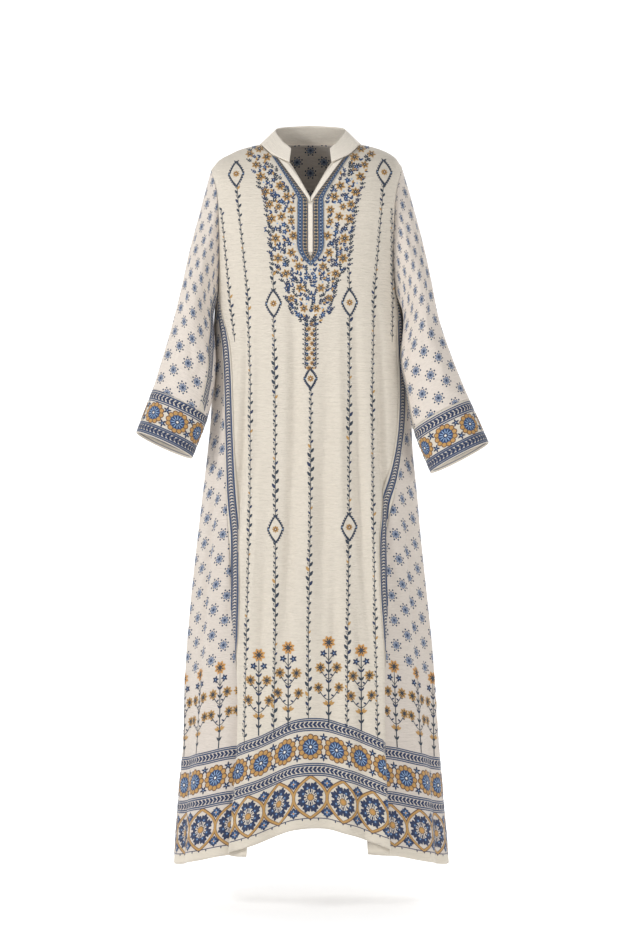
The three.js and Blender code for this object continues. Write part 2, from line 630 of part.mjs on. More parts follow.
function slitStrip() {
  const surface = (x, down) => [x, surfaceY(x, -down, -1), -down];
  const half = SLIT_STRIP.half;
  const rows = between(-SLIT_STRIP.topZ, -SLIT_STRIP.bottomZ, 6);
  const geometry = wall(surface, [-half, half], rows, { thick: TRIM, lay: LAY_GAP, turn: -1 });
  sew("slit_strip", geometry, "plain");
}

frontPanel();
backPanel();
for (const [side, name] of [
  [-1, "right"],
  [1, "left"],
]) {
  sidePanel(side, name);
  seamBand(side, name);
  sleeve(side, name);
  neckStrips(side, name);
}
collar();
slitStrip();

export default garment;
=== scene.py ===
"""A worn jalabiya: cream crepe front, printed sides, sleeves and back, embroidered yoke and borders.

The cloth follows the same sections as the CAD solids. Sizes are in millimetres up to the meshes,
which are in metres. +Z is up, the front faces -Y, and +X is the wearer's left.
"""
import math
import random
from functools import partial

import bpy
import numpy as np
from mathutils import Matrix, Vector
from mathutils.bvhtree import BVHTree


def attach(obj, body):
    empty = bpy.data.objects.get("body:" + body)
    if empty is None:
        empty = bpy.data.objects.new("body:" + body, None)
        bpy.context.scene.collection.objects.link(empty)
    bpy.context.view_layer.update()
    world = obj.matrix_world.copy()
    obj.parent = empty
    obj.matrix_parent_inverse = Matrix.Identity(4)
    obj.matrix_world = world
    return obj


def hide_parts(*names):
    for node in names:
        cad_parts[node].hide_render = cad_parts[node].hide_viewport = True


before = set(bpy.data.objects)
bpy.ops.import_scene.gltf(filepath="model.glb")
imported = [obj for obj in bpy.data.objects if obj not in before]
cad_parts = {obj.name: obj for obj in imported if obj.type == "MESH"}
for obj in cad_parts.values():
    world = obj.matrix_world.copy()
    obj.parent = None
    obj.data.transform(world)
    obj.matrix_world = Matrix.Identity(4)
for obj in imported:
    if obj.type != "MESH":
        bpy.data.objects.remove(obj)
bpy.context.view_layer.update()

MM = 0.001
SIDES = ((-1, "right"), (1, "left"))

# ---- driving sizes
CLOTH = 1.2  # wall of the panels and sleeves
DOUBLED = 1.8  # wall of the collar and cuffs
TRIM_TOP = 1.6  # outer face of a trim above the cloth under it
TRIM = 0.8
SEAM_GAP = 0.05  # sewn edges, closed to a hair line where the solids keep 0.3
NECK_HALF = 97
BUST_Z = -150
UNDERARM_Z = -292
HEM_Z = -1430
SHOULDER_Y = 8
V_POINT_Z = -108
SEAM_BAND = 18
SHOULDER_POWER = {-1: 2, 1: 3}
LIFT_TOP_Z = -650
LIFT_FULL_Z = -1150
PLEAT_TOP_Z = -860
PLEAT_FULL_Z = -1330
PLEAT_DEPTH = 46
PLEAT_LAYERS = 13
PLEAT_CLEAR = 4
PLEAT_RISE = 80
PLEAT_ROUND = 6
PLEAT_REACH = 50
ARMHOLE_TURN = 0.42
ARMHOLE_CLEAR = 0.2  # from the armhole out to the sleeve, where the solids keep 1.2
ARMHOLE_TIP = {-1: -37.5, 1: -30.5}
ARMHOLE_FADE = 2.4
SLEEVE_CLEAR = 6
CUFF_STATION = 6
WRIST_STATION = 7
CUFF_GAP = 0.002  # half the seam between sleeve and cuff, in stations


class Table:
    """Rows of named columns, read smoothly at any value of the first one."""

    def __init__(self, names, rows):
        data = np.array(rows, float)
        if data[0, 0] > data[-1, 0]:
            data = data[::-1]
        self.key = data[:, 0]
        self.columns = {name: data[:, i] for i, name in enumerate(names.split())}

    def read(self, name, value):
        k, y = self.key, self.columns[name]
        last = len(k) - 1
        v = np.clip(value, k[0], k[-1])
        i = np.clip(np.searchsorted(k, v, side="right") - 1, 0, last - 1)
        before = np.maximum(np.arange(last + 1) - 1, 0)
        after = np.minimum(np.arange(last + 1) + 1, last)
        slope = (y[after] - y[before]) / (k[after] - k[before])
        h = k[i + 1] - k[i]
        s = (v - k[i]) / h
        rise = slope[i] * h * s * (1 - s) ** 2 + slope[i + 1] * h * s * s * (s - 1)
        return y[i] * (1 + 2 * s) * (1 - s) ** 2 + y[i + 1] * s * s * (3 - 2 * s) + rise


BODY = Table("z right left front back power edge_right edge_left", [
    (60, 190, 176, 112, 100, 3.2, 205, 188),
    (-38, 192, 176, 112, 100, 3.2, 198, 181),
    (-90, 191, 176, 112, 100, 3.2, 185, 170),
    (-150, 190, 175, 113, 101, 3.2, 181, 165),
    (-220, 190, 175, 120, 106, 3.0, 180, 163),
    (-292, 190, 178, 124, 108, 2.7, 182, 168),
    (-350, 193, 190, 123, 107, 2.5, 179, 181),
    (-440, 196, 198, 121, 105, 2.4, 172, 189),
    (-535, 199, 202, 120, 108, 2.4, 169, 189),
    (-600, 205, 204, 120, 112, 2.35, 167, 182),
    (-690, 215, 213, 122, 116, 2.3, 164, 164),
    (-780, 224, 220, 124, 120, 2.3, 160, 152),
    (-900, 234, 230, 129, 125, 2.3, 156, 149),
    (-1050, 245, 243, 136, 132, 2.3, 151, 149),
    (-1180, 252, 253, 143, 139, 2.3, 150, 149),
    (-1300, 262, 262, 150, 146, 2.3, 157, 152),
    (-1430, 270, 272, 157, 150, 2.3, 168, 159),
])
SHOULDER = Table("x front back", [
    (-205, -46, -46), (-198, -38, -38), (-182, -20, -20), (-160, -8, -8), (-140, 1, 1),
    (-97, 12, 12), (-60, 18, 26), (0, 20, 36), (60, 18, 26), (97, 12, 12), (140, 1, 1),
    (168, -14, -14), (181, -31, -31), (190, -42, -42),
])
NECKLINE = Table("x front back", [
    (0, V_POINT_Z, 20), (41, -36, 19), (52, -30, 18.6), (66, -23, 18), (76, -17, 17),
    (86, -10, 15.5), (93, 0, 13.5), (NECK_HALF, 12, 12),
])
HEM_FRONT = Table("at z", [
    (-2, -1386), (-1.2, -1386), (-0.75, -1366), (-0.5, -1350), (-0.2, -1331), (0.15, -1329),
    (0.5, -1341), (0.8, -1358), (1.2, -1380), (2, -1380),
])
HEM_SIDE = Table("at z", [
    (0, -1383), (0.1, -1388), (0.25, -1404), (0.5, -1423), (0.8, -1420), (1, -1408),
])
HEM_BACK = Table("at z", [(-1, -1408), (-0.5, -1388), (0, -1376), (0.5, -1386), (1, -1408)])
# Soft vertical folds round the body: angle from the front middle, spread, depth and where it starts.
BODY_FOLDS = [
    (-31, 4.5, -6, -560), (-22, 5, 6, -640), (-13, 3.5, -9, -760), (-4, 5, 7, -700),
    (5, 4, -6, -520), (12, 3.5, 8, -820), (19, 3.5, -8, -600), (29, 4.5, 5, -560),
    (55, 7, 7, -760), (70, 6, -10, -620), (92, 8, 5, -700), (112, 7, -11, -560),
    (-56, 7, 6, -700), (-72, 6, -9, -580), (-94, 8, 4, -740), (-114, 7, -12, -600),
    (131, 7, 12, -520), (148, 6, -13, -430), (166, 7, 11, -560), (181, 6, -12, -380),
    (197, 7, 12, -600), (213, 6, -10, -460), (230, 7, 10, -540),
]
# Shallower drape that only the cloth shows: angle, spread, depth, middle height, half length, slant.
DRAPE = [
    (-38, 3.2, -6, -640, 260, 0.004), (-31, 2.6, 4, -560, 200, 0.004), (-6, 3.0, -5, -470, 190, -0.003),
    (-8, 2.6, -6, -800, 240, 0.002), (-1, 2.4, 4, -720, 210, 0.0), (5, 2.8, -5, -760, 250, 0.004),
    (13, 2.6, 4, -600, 220, -0.003), (24, 3.0, -6, -690, 300, -0.004), (31, 2.8, 4, -820, 240, -0.003),
    (41, 3.4, -7, -620, 280, -0.005), (-20, 2.4, -4, -980, 200, 0.003), (-14, 2.6, 4, -1080, 190, 0.0),
    (9, 2.4, -5, -1050, 200, 0.002), (17, 2.6, 4, -1120, 170, 0.0), (-26, 2.2, 3, -900, 210, 0.004),
    (60, 4.0, -5, -900, 260, 0.0), (78, 4.5, 5, -1020, 240, 0.003), (100, 5.0, -6, -860, 260, 0.0),
    (-62, 4.0, -6, -880, 270, 0.0), (-80, 4.5, 5, -1000, 240, -0.003), (-102, 5.0, -6, -840, 260, 0.0),
    (128, 4.0, -5, -640, 260, 0.004), (143, 3.6, 5, -760, 260, -0.003), (157, 4.0, -6, -620, 300, 0.003),
    (172, 3.6, 5, -840, 260, 0.0), (188, 4.0, -6, -700, 280, -0.003), (203, 3.6, 5, -600, 260, 0.004),
    (219, 4.2, -6, -820, 300, 0.0), (235, 4.0, 4, -700, 240, 0.003),
]
DRAPE_TOP_Z, DRAPE_FADE, DRAPE_STRENGTH = -262, 110, 1.5
SLEEVES = {
    -1: Table("at out_x out_z in_x in_z mid_y deep tilt", [
        (0, -198, -38, -186, -292, 4, 62, 0),
        (1, -221, -125, -190, -322, -14, 62, 0),
        (2, -239, -200, -190, -352, -32, 58, 0),
        (3, -254, -275, -187, -392, -48, 54, 0),
        (4, -272, -350, -186, -436, -58, 50, 2),
        (5, -292, -420, -191, -484, -62, 47, 5),
        (6, -311, -482, -203, -537, -64, 45, 8),
        (7, -343, -567, -233, -616, -68, 47, 8),
    ]),
    1: Table("at out_x out_z in_x in_z mid_y deep tilt", [
        (0, 183, -33, 172, -292, 4, 60, 0),
        (1, 206, -115, 180, -325, -18, 60, 0),
        (2, 223, -190, 181, -358, -40, 57, 0),
        (3, 238, -265, 178, -398, -58, 54, 0),
        (4, 253, -342, 179, -434, -68, 50, 2),
        (5, 280, -423, 188, -478, -74, 47, 5),
        (6, 312, -502, 202, -559, -76, 46, 8),
        (7, 350, -587, 236, -645, -78, 49, 8),
    ]),
}
# Folds of the sleeves: turn round the sleeve, station, spread, length, depth and slant.
SLEEVE_FOLDS = [
    (0.33, 1.3, 0.045, 1.1, -5, 0), (0.2, 2.2, 0.05, 1.6, 4, 0), (0.3, 3.6, 0.05, 1.2, -4, 0),
    (0.12, 4.4, 0.05, 1.4, -3, 0), (0.7, 1.6, 0.05, 1.4, -6, 0), (0.82, 3.2, 0.05, 1.5, -5, 0),
    (0.62, 4.2, 0.05, 1.3, 4, 0),
]
# Finer creases that only the cloth shows, in the same columns.
SLEEVE_CREASES = [
    (0.12, 0.9, 0.03, 0.7, -3, 0.05), (0.22, 1.5, 0.025, 0.8, 3, 0.06), (0.05, 1.9, 0.03, 0.9, -3, 0.04),
    (0.28, 2.6, 0.025, 0.7, -4, -0.05), (0.16, 3.1, 0.03, 0.8, 3, 0.05), (0.36, 3.3, 0.03, 0.9, -4, 0.04),
    (0.24, 4.2, 0.025, 0.7, -3, 0.05), (0.08, 3.6, 0.03, 0.8, -3, -0.04), (0.18, 5.0, 0.03, 0.7, 3, 0.03),
    (0.32, 4.9, 0.025, 0.6, -3, -0.04), (0.92, 1.2, 0.03, 0.9, -4, 0.04), (0.8, 2.2, 0.03, 0.9, 4, -0.04),
    (0.68, 3.0, 0.03, 0.8, -4, 0.05), (0.88, 3.9, 0.03, 0.9, -4, 0.03), (0.75, 4.8, 0.03, 0.7, 3, -0.04),
]
FOLD_FADE = 0.6  # in stations, at both ends of the sleeve
SLEEVE_COLUMNS = 24  # of the solid's sleeve
SLEEVE_BAND = {-1: (9, 10), 1: (11, 12)}  # the two columns that each band lies between
SLEEVE_BAND_TOP = 0.55
SEAM_BAND_ROWS = (2.0, 2.9)
COLLAR = [
    (41, -38, -1, 38, -64, -7), (52, -33, -1, 46, -57, 1), (66, -26, -1, 54, -47, 9),
    (76, -20, -1, 60, -36, 18), (86, -10, -1, 66, -22, 28), (95, 1, -1, 69, -7, 36),
    (99.5, 11, 1, 68, 9, 42), (91, 12.5, 1, 62, 25, 47), (71, 15, 1, 48, 38, 51),
    (40, 16, 1, 27, 47, 54), (0, 16.5, 1, 0, 50, 56),
]
COLLAR_GAP = 1.0
FACING = Table("at out_x out_z in_x in_z", [
    (0, 64, -27, 43, -41), (1, 37, -66, 25.5, -66), (2, 9.5, -105, 5.5, -101),
    (3, 0.6, -117.5, 0.6, -110),
])
BRAID = Table("at out_x out_z in_x in_z", [
    (0, 76, -22, 65, -27.5), (1, 51, -63, 37.8, -66.6), (2, 27, -105, 10.2, -105.8),
    (3, 25.5, -122, 5.6, -122), (4, 25.5, -165, 5.6, -165), (5, 25.5, -206, 5.6, -206),
    (6, 15, -228, 3.4, -220), (7, 0.6, -243, 0.6, -224),
])
SLIT_HALF, SLIT_TOP_Z, SLIT_BOTTOM_Z = 4.4, -120, -216


# ---- the body's surface
def lerp(a, b, t):
    return a + (b - a) * t


def smooth(t):
    t = np.clip(t, 0, 1)
    return t * t * (3 - 2 * t)


def either(negative, positive, sign, z):
    """One column of BODY where sign is under 0, and another one elsewhere."""
    return np.where(sign < 0, BODY.read(negative, z), BODY.read(positive, z))


half_width = partial(either, "right", "left")
edge_of = partial(either, "edge_right", "edge_left")
depth_of = partial(either, "front", "back")


def fold_depth(around, z):
    total = 0
    for angle, spread, depth, top_z in BODY_FOLDS:
        off = (around - angle + 540) % 360 - 180
        grown = np.clip((top_z - z) / (top_z - HEM_Z), 0, 1)
        total = total + depth * np.exp(-((off / spread) ** 2)) * grown ** 1.4
    return total + drape(around, z)


def drape(around, z):
    total = 0
    for angle, spread, depth, middle, length, slant in DRAPE:
        off = (around - angle - slant * (z - middle) + 540) % 360 - 180
        total = total + depth * np.exp(-((off / spread) ** 2) - ((z - middle) / length) ** 2)
    return DRAPE_STRENGTH * total * smooth((DRAPE_TOP_Z - z) / DRAPE_FADE)


def section_y(x, z, face):
    n = BODY.read("power", z)
    share = np.minimum(1, np.abs(x) / half_width(x, z))
    return face * depth_of(face, z) * (1 - share ** n) ** (1 / n)


def around_at(x, z, face):
    share = np.minimum(1, np.abs(x) / half_width(x, z))
    angle = np.degrees(np.arcsin(share ** (BODY.read("power", z) / 2)))
    return np.where(x < 0, -1, 1) * (angle if face < 0 else 180 - angle)


def body_point(around, z):
    turn = np.radians(around)
    n = 2 / BODY.read("power", z)
    sin, cos = np.sin(turn), np.cos(turn)
    x = half_width(around, z) * np.sign(sin) * np.abs(sin) ** n
    y = -depth_of(-cos, z) * np.sign(cos) * np.abs(cos) ** n
    out = fold_depth(around, z)
    return x + out * sin, y - out * cos


def shoulder_reach(x, z, face):
    at_bust = x * edge_of(x, BUST_Z) / edge_of(x, z)
    return section_y(at_bust, BUST_Z + 0 * z, face) - SHOULDER_Y


def surface_y(x, z, face):
    """Depth of the front (-1) or back (1): a rounded shoulder above the bust, the section below."""
    power = SHOULDER_POWER[face]
    top = SHOULDER.read("front" if face < 0 else "back", x)
    q = np.clip((z - BUST_Z) / (top - BUST_Z), 0, 1)
    rounded = SHOULDER_Y + shoulder_reach(x, z, face) * (1 - q ** power) ** (1 / power)
    return np.where(z > BUST_Z, rounded, section_y(x, z, face))


def surface_point(x, z, face):
    bx, by = body_point(around_at(x, z, face), z)
    above = z > BUST_Z
    return np.where(above, x, bx), np.where(above, surface_y(x, z, face), by)


def lift(z, hem_z):
    return z + (hem_z - HEM_Z) * smooth((LIFT_TOP_Z - z) / (LIFT_TOP_Z - LIFT_FULL_Z))


def panel_row(row, x, face):
    """0 to 1 rounds the shoulder, 1 to 2 goes down to the underarm, 2 to 3 to the hem."""
    name = "front" if face < 0 else "back"
    power = SHOULDER_POWER[face]
    shoulder = SHOULDER.read(name, x)
    top = np.where(np.abs(x) < NECK_HALF, NECKLINE.read(name, np.abs(x)), shoulder)
    q = np.clip((top - BUST_Z) / (shoulder - BUST_Z), 0, 1)
    gap = SEAM_GAP / 2 / np.abs(shoulder_reach(x, top, face))
    start = np.maximum(np.arccos(q ** (power / 2)), gap ** (power / 2))
    angle = lerp(start, math.pi / 2, np.clip(row, 0, 1))
    rounded = BUST_Z + (shoulder - BUST_Z) * np.clip(np.cos(angle), 0, 1) ** (2 / power)
    below = np.where(row <= 2, lerp(BUST_Z, UNDERARM_Z, row - 1), lerp(UNDERARM_Z, HEM_Z, row - 2))
    return np.where(row <= 1, rounded, below)


def pleat_depth(z):
    return PLEAT_DEPTH * smooth((PLEAT_TOP_Z - z) / (PLEAT_TOP_Z - PLEAT_FULL_Z))


def front_column(column, z):
    """x of a column of the front panel, and how far it is turned under in the pleat, 0 to 1."""
    side = np.where(column < 0, -1, 1)
    deep = pleat_depth(z)
    from_seam = PLEAT_REACH * np.minimum(1, 2 - np.abs(column))
    flat = from_seam - deep
    rounded = lerp(flat, np.hypot(flat, PLEAT_ROUND), smooth(deep / PLEAT_ROUND / 2))
    x = (edge_of(side, z) - SEAM_GAP / 2 - rounded) * np.minimum(1, np.abs(column))
    under = smooth(0.5 + (deep - from_seam) / (3 * PLEAT_ROUND)) * smooth(deep / 6)
    return side * x, under


def front_point(column, row):
    z = -80 + 0 * column
    for _ in range(5):
        x, under = front_column(column, z)
        z = panel_row(row, x, -1)
    back = PLEAT_CLEAR * smooth((PLEAT_TOP_Z + PLEAT_RISE - z) / PLEAT_RISE)
    forward = back + PLEAT_LAYERS * np.sqrt(pleat_depth(z) / PLEAT_DEPTH)
    px, py = surface_point(x, z, -1)
    hem = lift(z, HEM_FRONT.read("z", column))
    return px, py - lerp(forward, back, under), np.where(row > 2, hem, z)


def back_point(column, row):
    z = -80 + 0 * column
    for _ in range(5):
        x = column * (edge_of(np.sign(column), z) - SEAM_GAP / 2)
        z = panel_row(row, x, 1)
    px, py = surface_point(x, z, 1)
    return px, py, np.where(row > 2, lift(z, HEM_BACK.read("z", column)), z)


def side_point(side, column, row):
    z = lerp(UNDERARM_Z - SEAM_GAP, HEM_Z, row)
    start = side * (edge_of(side, z) - pleat_depth(z) + SEAM_GAP / 2)
    end = side * (edge_of(side, z) + SEAM_GAP / 2)
    px, py = body_point(lerp(around_at(start, z, -1), around_at(end, z, 1), column), z)
    return px, py, lift(z, HEM_SIDE.read("z", column))


# ---- sleeves, collar and strips
def armhole_point(side, turn):
    """A point of the armhole: from the shoulder down the front, under the arm, up the back."""
    is_back = turn > 0.5
    t = np.where(is_back, 1 - turn, turn)
    z = lerp(ARMHOLE_TIP[side], UNDERARM_Z, np.minimum(1, t / ARMHOLE_TURN))
    x = side * edge_of(side, z)
    y = np.where(is_back, surface_y(x, z, 1), surface_y(x, z, -1))
    across = (t - ARMHOLE_TURN) / (0.5 - ARMHOLE_TURN) / 2
    under = side_point(side, np.where(is_back, 1 - across, across), 0 * t)
    low = t > ARMHOLE_TURN
    clear = side * ARMHOLE_CLEAR
    return (
        np.where(low, under[0], x) + clear,
        np.where(low, under[1], y),
        np.where(low, UNDERARM_Z + ARMHOLE_CLEAR, z),
    )


def sleeve_tube(side, turn, at):
    angle = 2 * math.pi * turn
    c, s = np.cos(angle), np.sin(angle)
    get = {name: SLEEVES[side].read(name, at) for name in SLEEVES[side].columns}
    return (
        (get["out_x"] + get["in_x"]) / 2 + (get["out_x"] - get["in_x"]) / 2 * c,
        get["mid_y"] - get["deep"] * s,
        (get["out_z"] + get["in_z"]) / 2 + (get["out_z"] - get["in_z"]) / 2 * c + get["tilt"] * s,
    )


def sleeve_fold(turn, at):
    total = 0
    for fold_turn, station, spread, length, depth, slant in SLEEVE_FOLDS + SLEEVE_CREASES:
        off = (turn - fold_turn - slant * (at - station) + 1.5) % 1 - 0.5
        total = total + depth * np.exp(-((off / spread) ** 2) - ((at - station) / length) ** 2)
    return total * smooth(at / FOLD_FADE) * smooth((CUFF_STATION - at) / FOLD_FADE)


def clear_of_body(x, y, z, clear):
    n = BODY.read("power", z)
    rx = half_width(x, z) + clear
    ry = depth_of(y, z) + clear
    share = (np.abs(x / rx) ** n + np.abs(y / ry) ** n) ** (1 / n)
    push = np.where(share < 1, 1 / np.maximum(share, 0.05), 1)
    return x * push, y * push, z


def sleeve_point(side, turn, at):
    tube = sleeve_tube(side, turn, at)
    first = sleeve_tube(side, turn, 0 * at)
    hole = armhole_point(side, turn % 1)
    hold = 1 - smooth(at / ARMHOLE_FADE)
    angle = 2 * math.pi * turn
    out = sleeve_fold(turn, at)
    x = tube[0] + (hole[0] - first[0]) * hold + side * out * np.cos(angle)
    y = tube[1] + (hole[1] - first[1]) * hold - out * np.sin(angle)
    z = tube[2] + (hole[2] - first[2]) * hold
    moved = clear_of_body(x, y, z, lerp(2 * SEAM_GAP, SLEEVE_CLEAR, smooth(at / 1.2)))
    return tuple(np.where(at <= 0, a, b) for a, b in zip((x, y, z), moved))


def collar_rows():
    """The collar's stations, with the foot's outer side standing off the panel under it."""
    rows = []
    for i, (x, z, face, top_x, top_y, top_z) in enumerate(COLLAR):
        step = 0.01
        y = float(surface_y(x, z, face))
        slope_x = (float(surface_y(x + step, z, face)) - y) / step
        slope_z = (float(surface_y(x, z + step, face)) - y) / step
        normal = np.array([-slope_x, 1, -slope_z]) * face
        foot = np.array([x, y, z]) + normal / np.linalg.norm(normal) * (COLLAR_GAP + DOUBLED)
        rows.append((i, foot[0] if x else 0, foot[1], foot[2], top_x, top_y, top_z))
    return Table("at foot_x foot_y foot_z top_x top_y top_z", rows)


COLLAR_ROWS = collar_rows()


def collar_point(along, up):
    side = np.where(along < 0, -1, 1)
    at = (len(COLLAR) - 1) * (1 - np.abs(along))
    x, y, z = (
        lerp(COLLAR_ROWS.read("foot_" + axis, at), COLLAR_ROWS.read("top_" + axis, at), up)
        for axis in "xyz"
    )
    return side * x, y, z


def seam_point(side, across, row):
    """The band along a front seam, from its inner edge out; it starts as a point at the underarm."""
    wide = SEAM_BAND / PLEAT_REACH * lerp(0.12, 1, smooth((row - SEAM_BAND_ROWS[0]) / 0.1))
    return front_point(side * (2 - wide * (1 - across)), row)


def strip_point(table, side, across, along):
    x = side * lerp(table.read("in_x", along), table.read("out_x", along), across)
    z = lerp(table.read("in_z", along), table.read("out_z", along), across)
    return x, surface_y(x, z, -1), z


# ---- colours and materials
def srgb(red, green, blue):
    """A colour given as seen on a screen, 0 to 255, as Blender's linear values."""
    values = [c / 255 for c in (red, green, blue)]
    return tuple(c / 12.92 if c <= 0.04045 else ((c + 0.055) / 1.055) ** 2.4 for c in values)


CREAM = srgb(218, 209, 195)
GREIGE = srgb(213, 203, 193)
PLAIN = srgb(240, 231, 217)
HEM_FACING = srgb(214, 205, 190)
THREADS = {
    "navy": srgb(27, 44, 80),
    "ink": srgb(40, 52, 66),
    "blue": srgb(36, 70, 114),
    "sky": srgb(132, 162, 200),
    "gold": srgb(186, 144, 82),
    "amber": srgb(202, 148, 80),
    "brown": srgb(112, 80, 54),
    "slate": srgb(48, 68, 102),
    "steel": srgb(74, 98, 130),
    "white": srgb(236, 232, 224),
}
PRINT_BLUE = srgb(38, 56, 84)
PRINT_PALE = srgb(124, 144, 174)
PRINT_START = 0.372  # the print of back and sides starts this far above the hem, in metres
CUFF_LINES = [(0.0045, 0.0012), (0.013, 0.003), (0.0215, 0.0012)]  # woven stripes: height, half


class Field:
    """A number worked out at each point of a surface by shader nodes."""

    def __init__(self, tree, socket):
        self.tree, self.socket = tree, socket

    def math(self, operation, *others, clamp=False):
        node = self.tree.nodes.new("ShaderNodeMath")
        node.operation = operation
        node.use_clamp = clamp
        for place, value in zip(node.inputs, (self, *others)):
            if isinstance(value, Field):
                self.tree.links.new(value.socket, place)
            else:
                place.default_value = value
        return Field(self.tree, node.outputs[0])

    def __add__(self, other):
        return self.math("ADD", other)

    def __sub__(self, other):
        return self.math("SUBTRACT", other)

    def __mul__(self, other):
        return self.math("MULTIPLY", other)

    def below(self, edge, blur):
        """1 where the field is under edge, 0 over it, with a soft step of width blur."""
        return (self * (-1 / blur)).math("ADD", edge / blur + 0.5, clamp=True)

    def flip(self):
        return (self * -1) + 1


def cloth_uv(tree, name="Cloth"):
    """Flat coordinates. "Cloth" is across and up from the hem in metres, "Weave" is level."""
    uv = tree.nodes.new("ShaderNodeUVMap")
    uv.uv_map = name
    split = tree.nodes.new("ShaderNodeSeparateXYZ")
    tree.links.new(uv.outputs["UV"], split.inputs[0])
    return Field(tree, split.outputs[0]), Field(tree, split.outputs[1])


def noise(tree, x, y, detail=2.0, rough=0.5):
    join = tree.nodes.new("ShaderNodeCombineXYZ")
    tree.links.new(x.socket, join.inputs[0])
    tree.links.new(y.socket, join.inputs[1])
    node = tree.nodes.new("ShaderNodeTexNoise")
    node.inputs["Scale"].default_value = 1
    node.inputs["Detail"].default_value = detail
    node.inputs["Roughness"].default_value = rough
    tree.links.new(join.outputs[0], node.inputs["Vector"])
    return Field(tree, node.outputs["Fac"])


def mix_colour(tree, share, a, b):
    """Colour a where share is 0 and b where it is 1. a and b are colours or sockets."""
    node = tree.nodes.new("ShaderNodeMix")
    node.data_type = "RGBA"
    tree.links.new(share.socket, node.inputs["Factor"])
    for value, place in ((a, node.inputs[6]), (b, node.inputs[7])):
        if isinstance(value, tuple):
            place.default_value = (*value, 1)
        else:
            tree.links.new(value, place)
    return node.outputs[2]


def darker(colour, share):
    return tuple(c * share for c in colour)


def new_material(name, inputs):
    """A new material with these shader inputs, and with it its node tree and its shader."""
    material = bpy.data.materials.new(name)
    material.use_nodes = True
    tree = material.node_tree
    shader = tree.nodes["Principled BSDF"]
    for key, value in inputs.items():
        shader.inputs[key].default_value = value
    return material, tree, shader


def bump(tree, shader, height, strength, distance):
    """Lets the field height tilt the shader's normal. distance is in metres."""
    node = tree.nodes.new("ShaderNodeBump")
    node.inputs["Strength"].default_value = strength
    node.inputs["Distance"].default_value = distance
    tree.links.new(height.socket, node.inputs["Height"])
    tree.links.new(node.outputs["Normal"], shader.inputs["Normal"])


# Half-drop repeat of the printed rosettes, in metres, and their rings' radii in millimetres.
ROSETTE_ACROSS, ROSETTE_DOWN = 0.0275, 0.048
ROSETTE_CORE, ROSETTE_VEINS, ROSETTE_RIM, ROSETTE_DOTS = 2.6, 5.6, 8.2, 11


def rosettes(x, y, start):
    """Shares of dark and pale print: eight-petalled rosettes with a ring of eight dots."""
    column = (x * (1 / ROSETTE_ACROSS)).math("ROUND")
    odd = column.math("PINGPONG", 1)
    drop = odd * (ROSETTE_DOWN / 2)
    row = ((y + drop) * (1 / ROSETTE_DOWN)).math("ROUND")
    dx = (x - column * ROSETTE_ACROSS) * 1000
    dy = (y + drop - row * ROSETTE_DOWN) * 1000
    radius = (dx * dx + dy * dy).math("SQRT")
    angle = dy.math("ARCTAN2", dx)
    inside = (row * ROSETTE_DOWN - drop).below(start, 0.001).flip()

    def sectors(count, shift=0.0):
        wedge = 2 * math.pi / count
        return (angle + (shift + math.pi * 2)).math("WRAP", wedge / 2, -wedge / 2)

    petal = sectors(8)
    across = (radius * petal).math("ABSOLUTE")
    edge = radius + across * across * 0.5
    core = radius.below(ROSETTE_CORE, 0.6)
    veins = across.below(0.6, 0.5) * radius.below(ROSETTE_VEINS, 0.6)
    rim = (edge - ROSETTE_RIM).math("ABSOLUTE").below(0.85, 0.6)
    dot = sectors(8, math.pi / 8)
    out = radius - ROSETTE_DOTS
    off = (radius * dot) * (radius * dot) + out * out
    dots = off.below(3.3, 1.2)
    dark = core.math("MAXIMUM", rim).math("MAXIMUM", dots).math("MAXIMUM", veins)
    pale = edge.below(ROSETTE_RIM, 0.6)
    return dark * inside, pale * inside


def crepe(name, colour, print_start=None, facing=None, slub=1.0, lines=()):
    """Slubbed crepe, with the printed rosettes above print_start and a plain facing at the hem."""
    material, tree, shader = new_material(name, {
        "Roughness": 0.88, "Sheen Weight": 0.12, "Sheen Roughness": 0.6, "Specular IOR Level": 0.25,
    })
    x, y = cloth_uv(tree)
    weft, warp = cloth_uv(tree, "Weave")
    slubs = noise(tree, weft * 120, warp * 620, 3.0, 0.6)
    crinkle = noise(tree, weft * 40, warp * 230, 3.0, 0.6)
    patches = noise(tree, weft * 14, warp * 9, 2.0)
    grain = noise(tree, weft * 1500, warp * 1500, 1.0)
    tone = mix_colour(tree, slubs.below(0.46, 0.3), colour, darker(colour, 0.9))
    # painted shade: where the crinkle's bump is low, its valleys are darkened in the colour, more so as
    # slub grows
    tone = mix_colour(tree, crinkle.below(0.45, 0.2) * (0.42 * slub), tone, darker(colour, 0.86))
    tone = mix_colour(tree, patches.below(0.45, 0.5) * 0.4, tone, darker(colour, 0.93))
    if print_start is not None:
        dark, pale = rosettes(x, y, print_start)
        worn = noise(tree, x * 700, y * 700, 2.0).below(0.62, 0.3)
        tone = mix_colour(tree, pale * 0.75, tone, PRINT_PALE)
        tone = mix_colour(tree, dark * (worn * 0.2 + 0.78), tone, PRINT_BLUE)
    if facing is not None:
        tone = mix_colour(tree, y.below(facing, 0.0006), tone, HEM_FACING)
    for middle, half in lines:
        stripe = (y - middle).math("ABSOLUTE").below(half, 0.0008)
        tone = mix_colour(tree, stripe * 0.6, tone, THREADS["slate"])
    tree.links.new(tone, shader.inputs["Base Color"])
    bump(tree, shader, slubs * 0.5 + grain * 0.15 + crinkle * 1.8, 0.5 * slub, 0.0018)
    return material


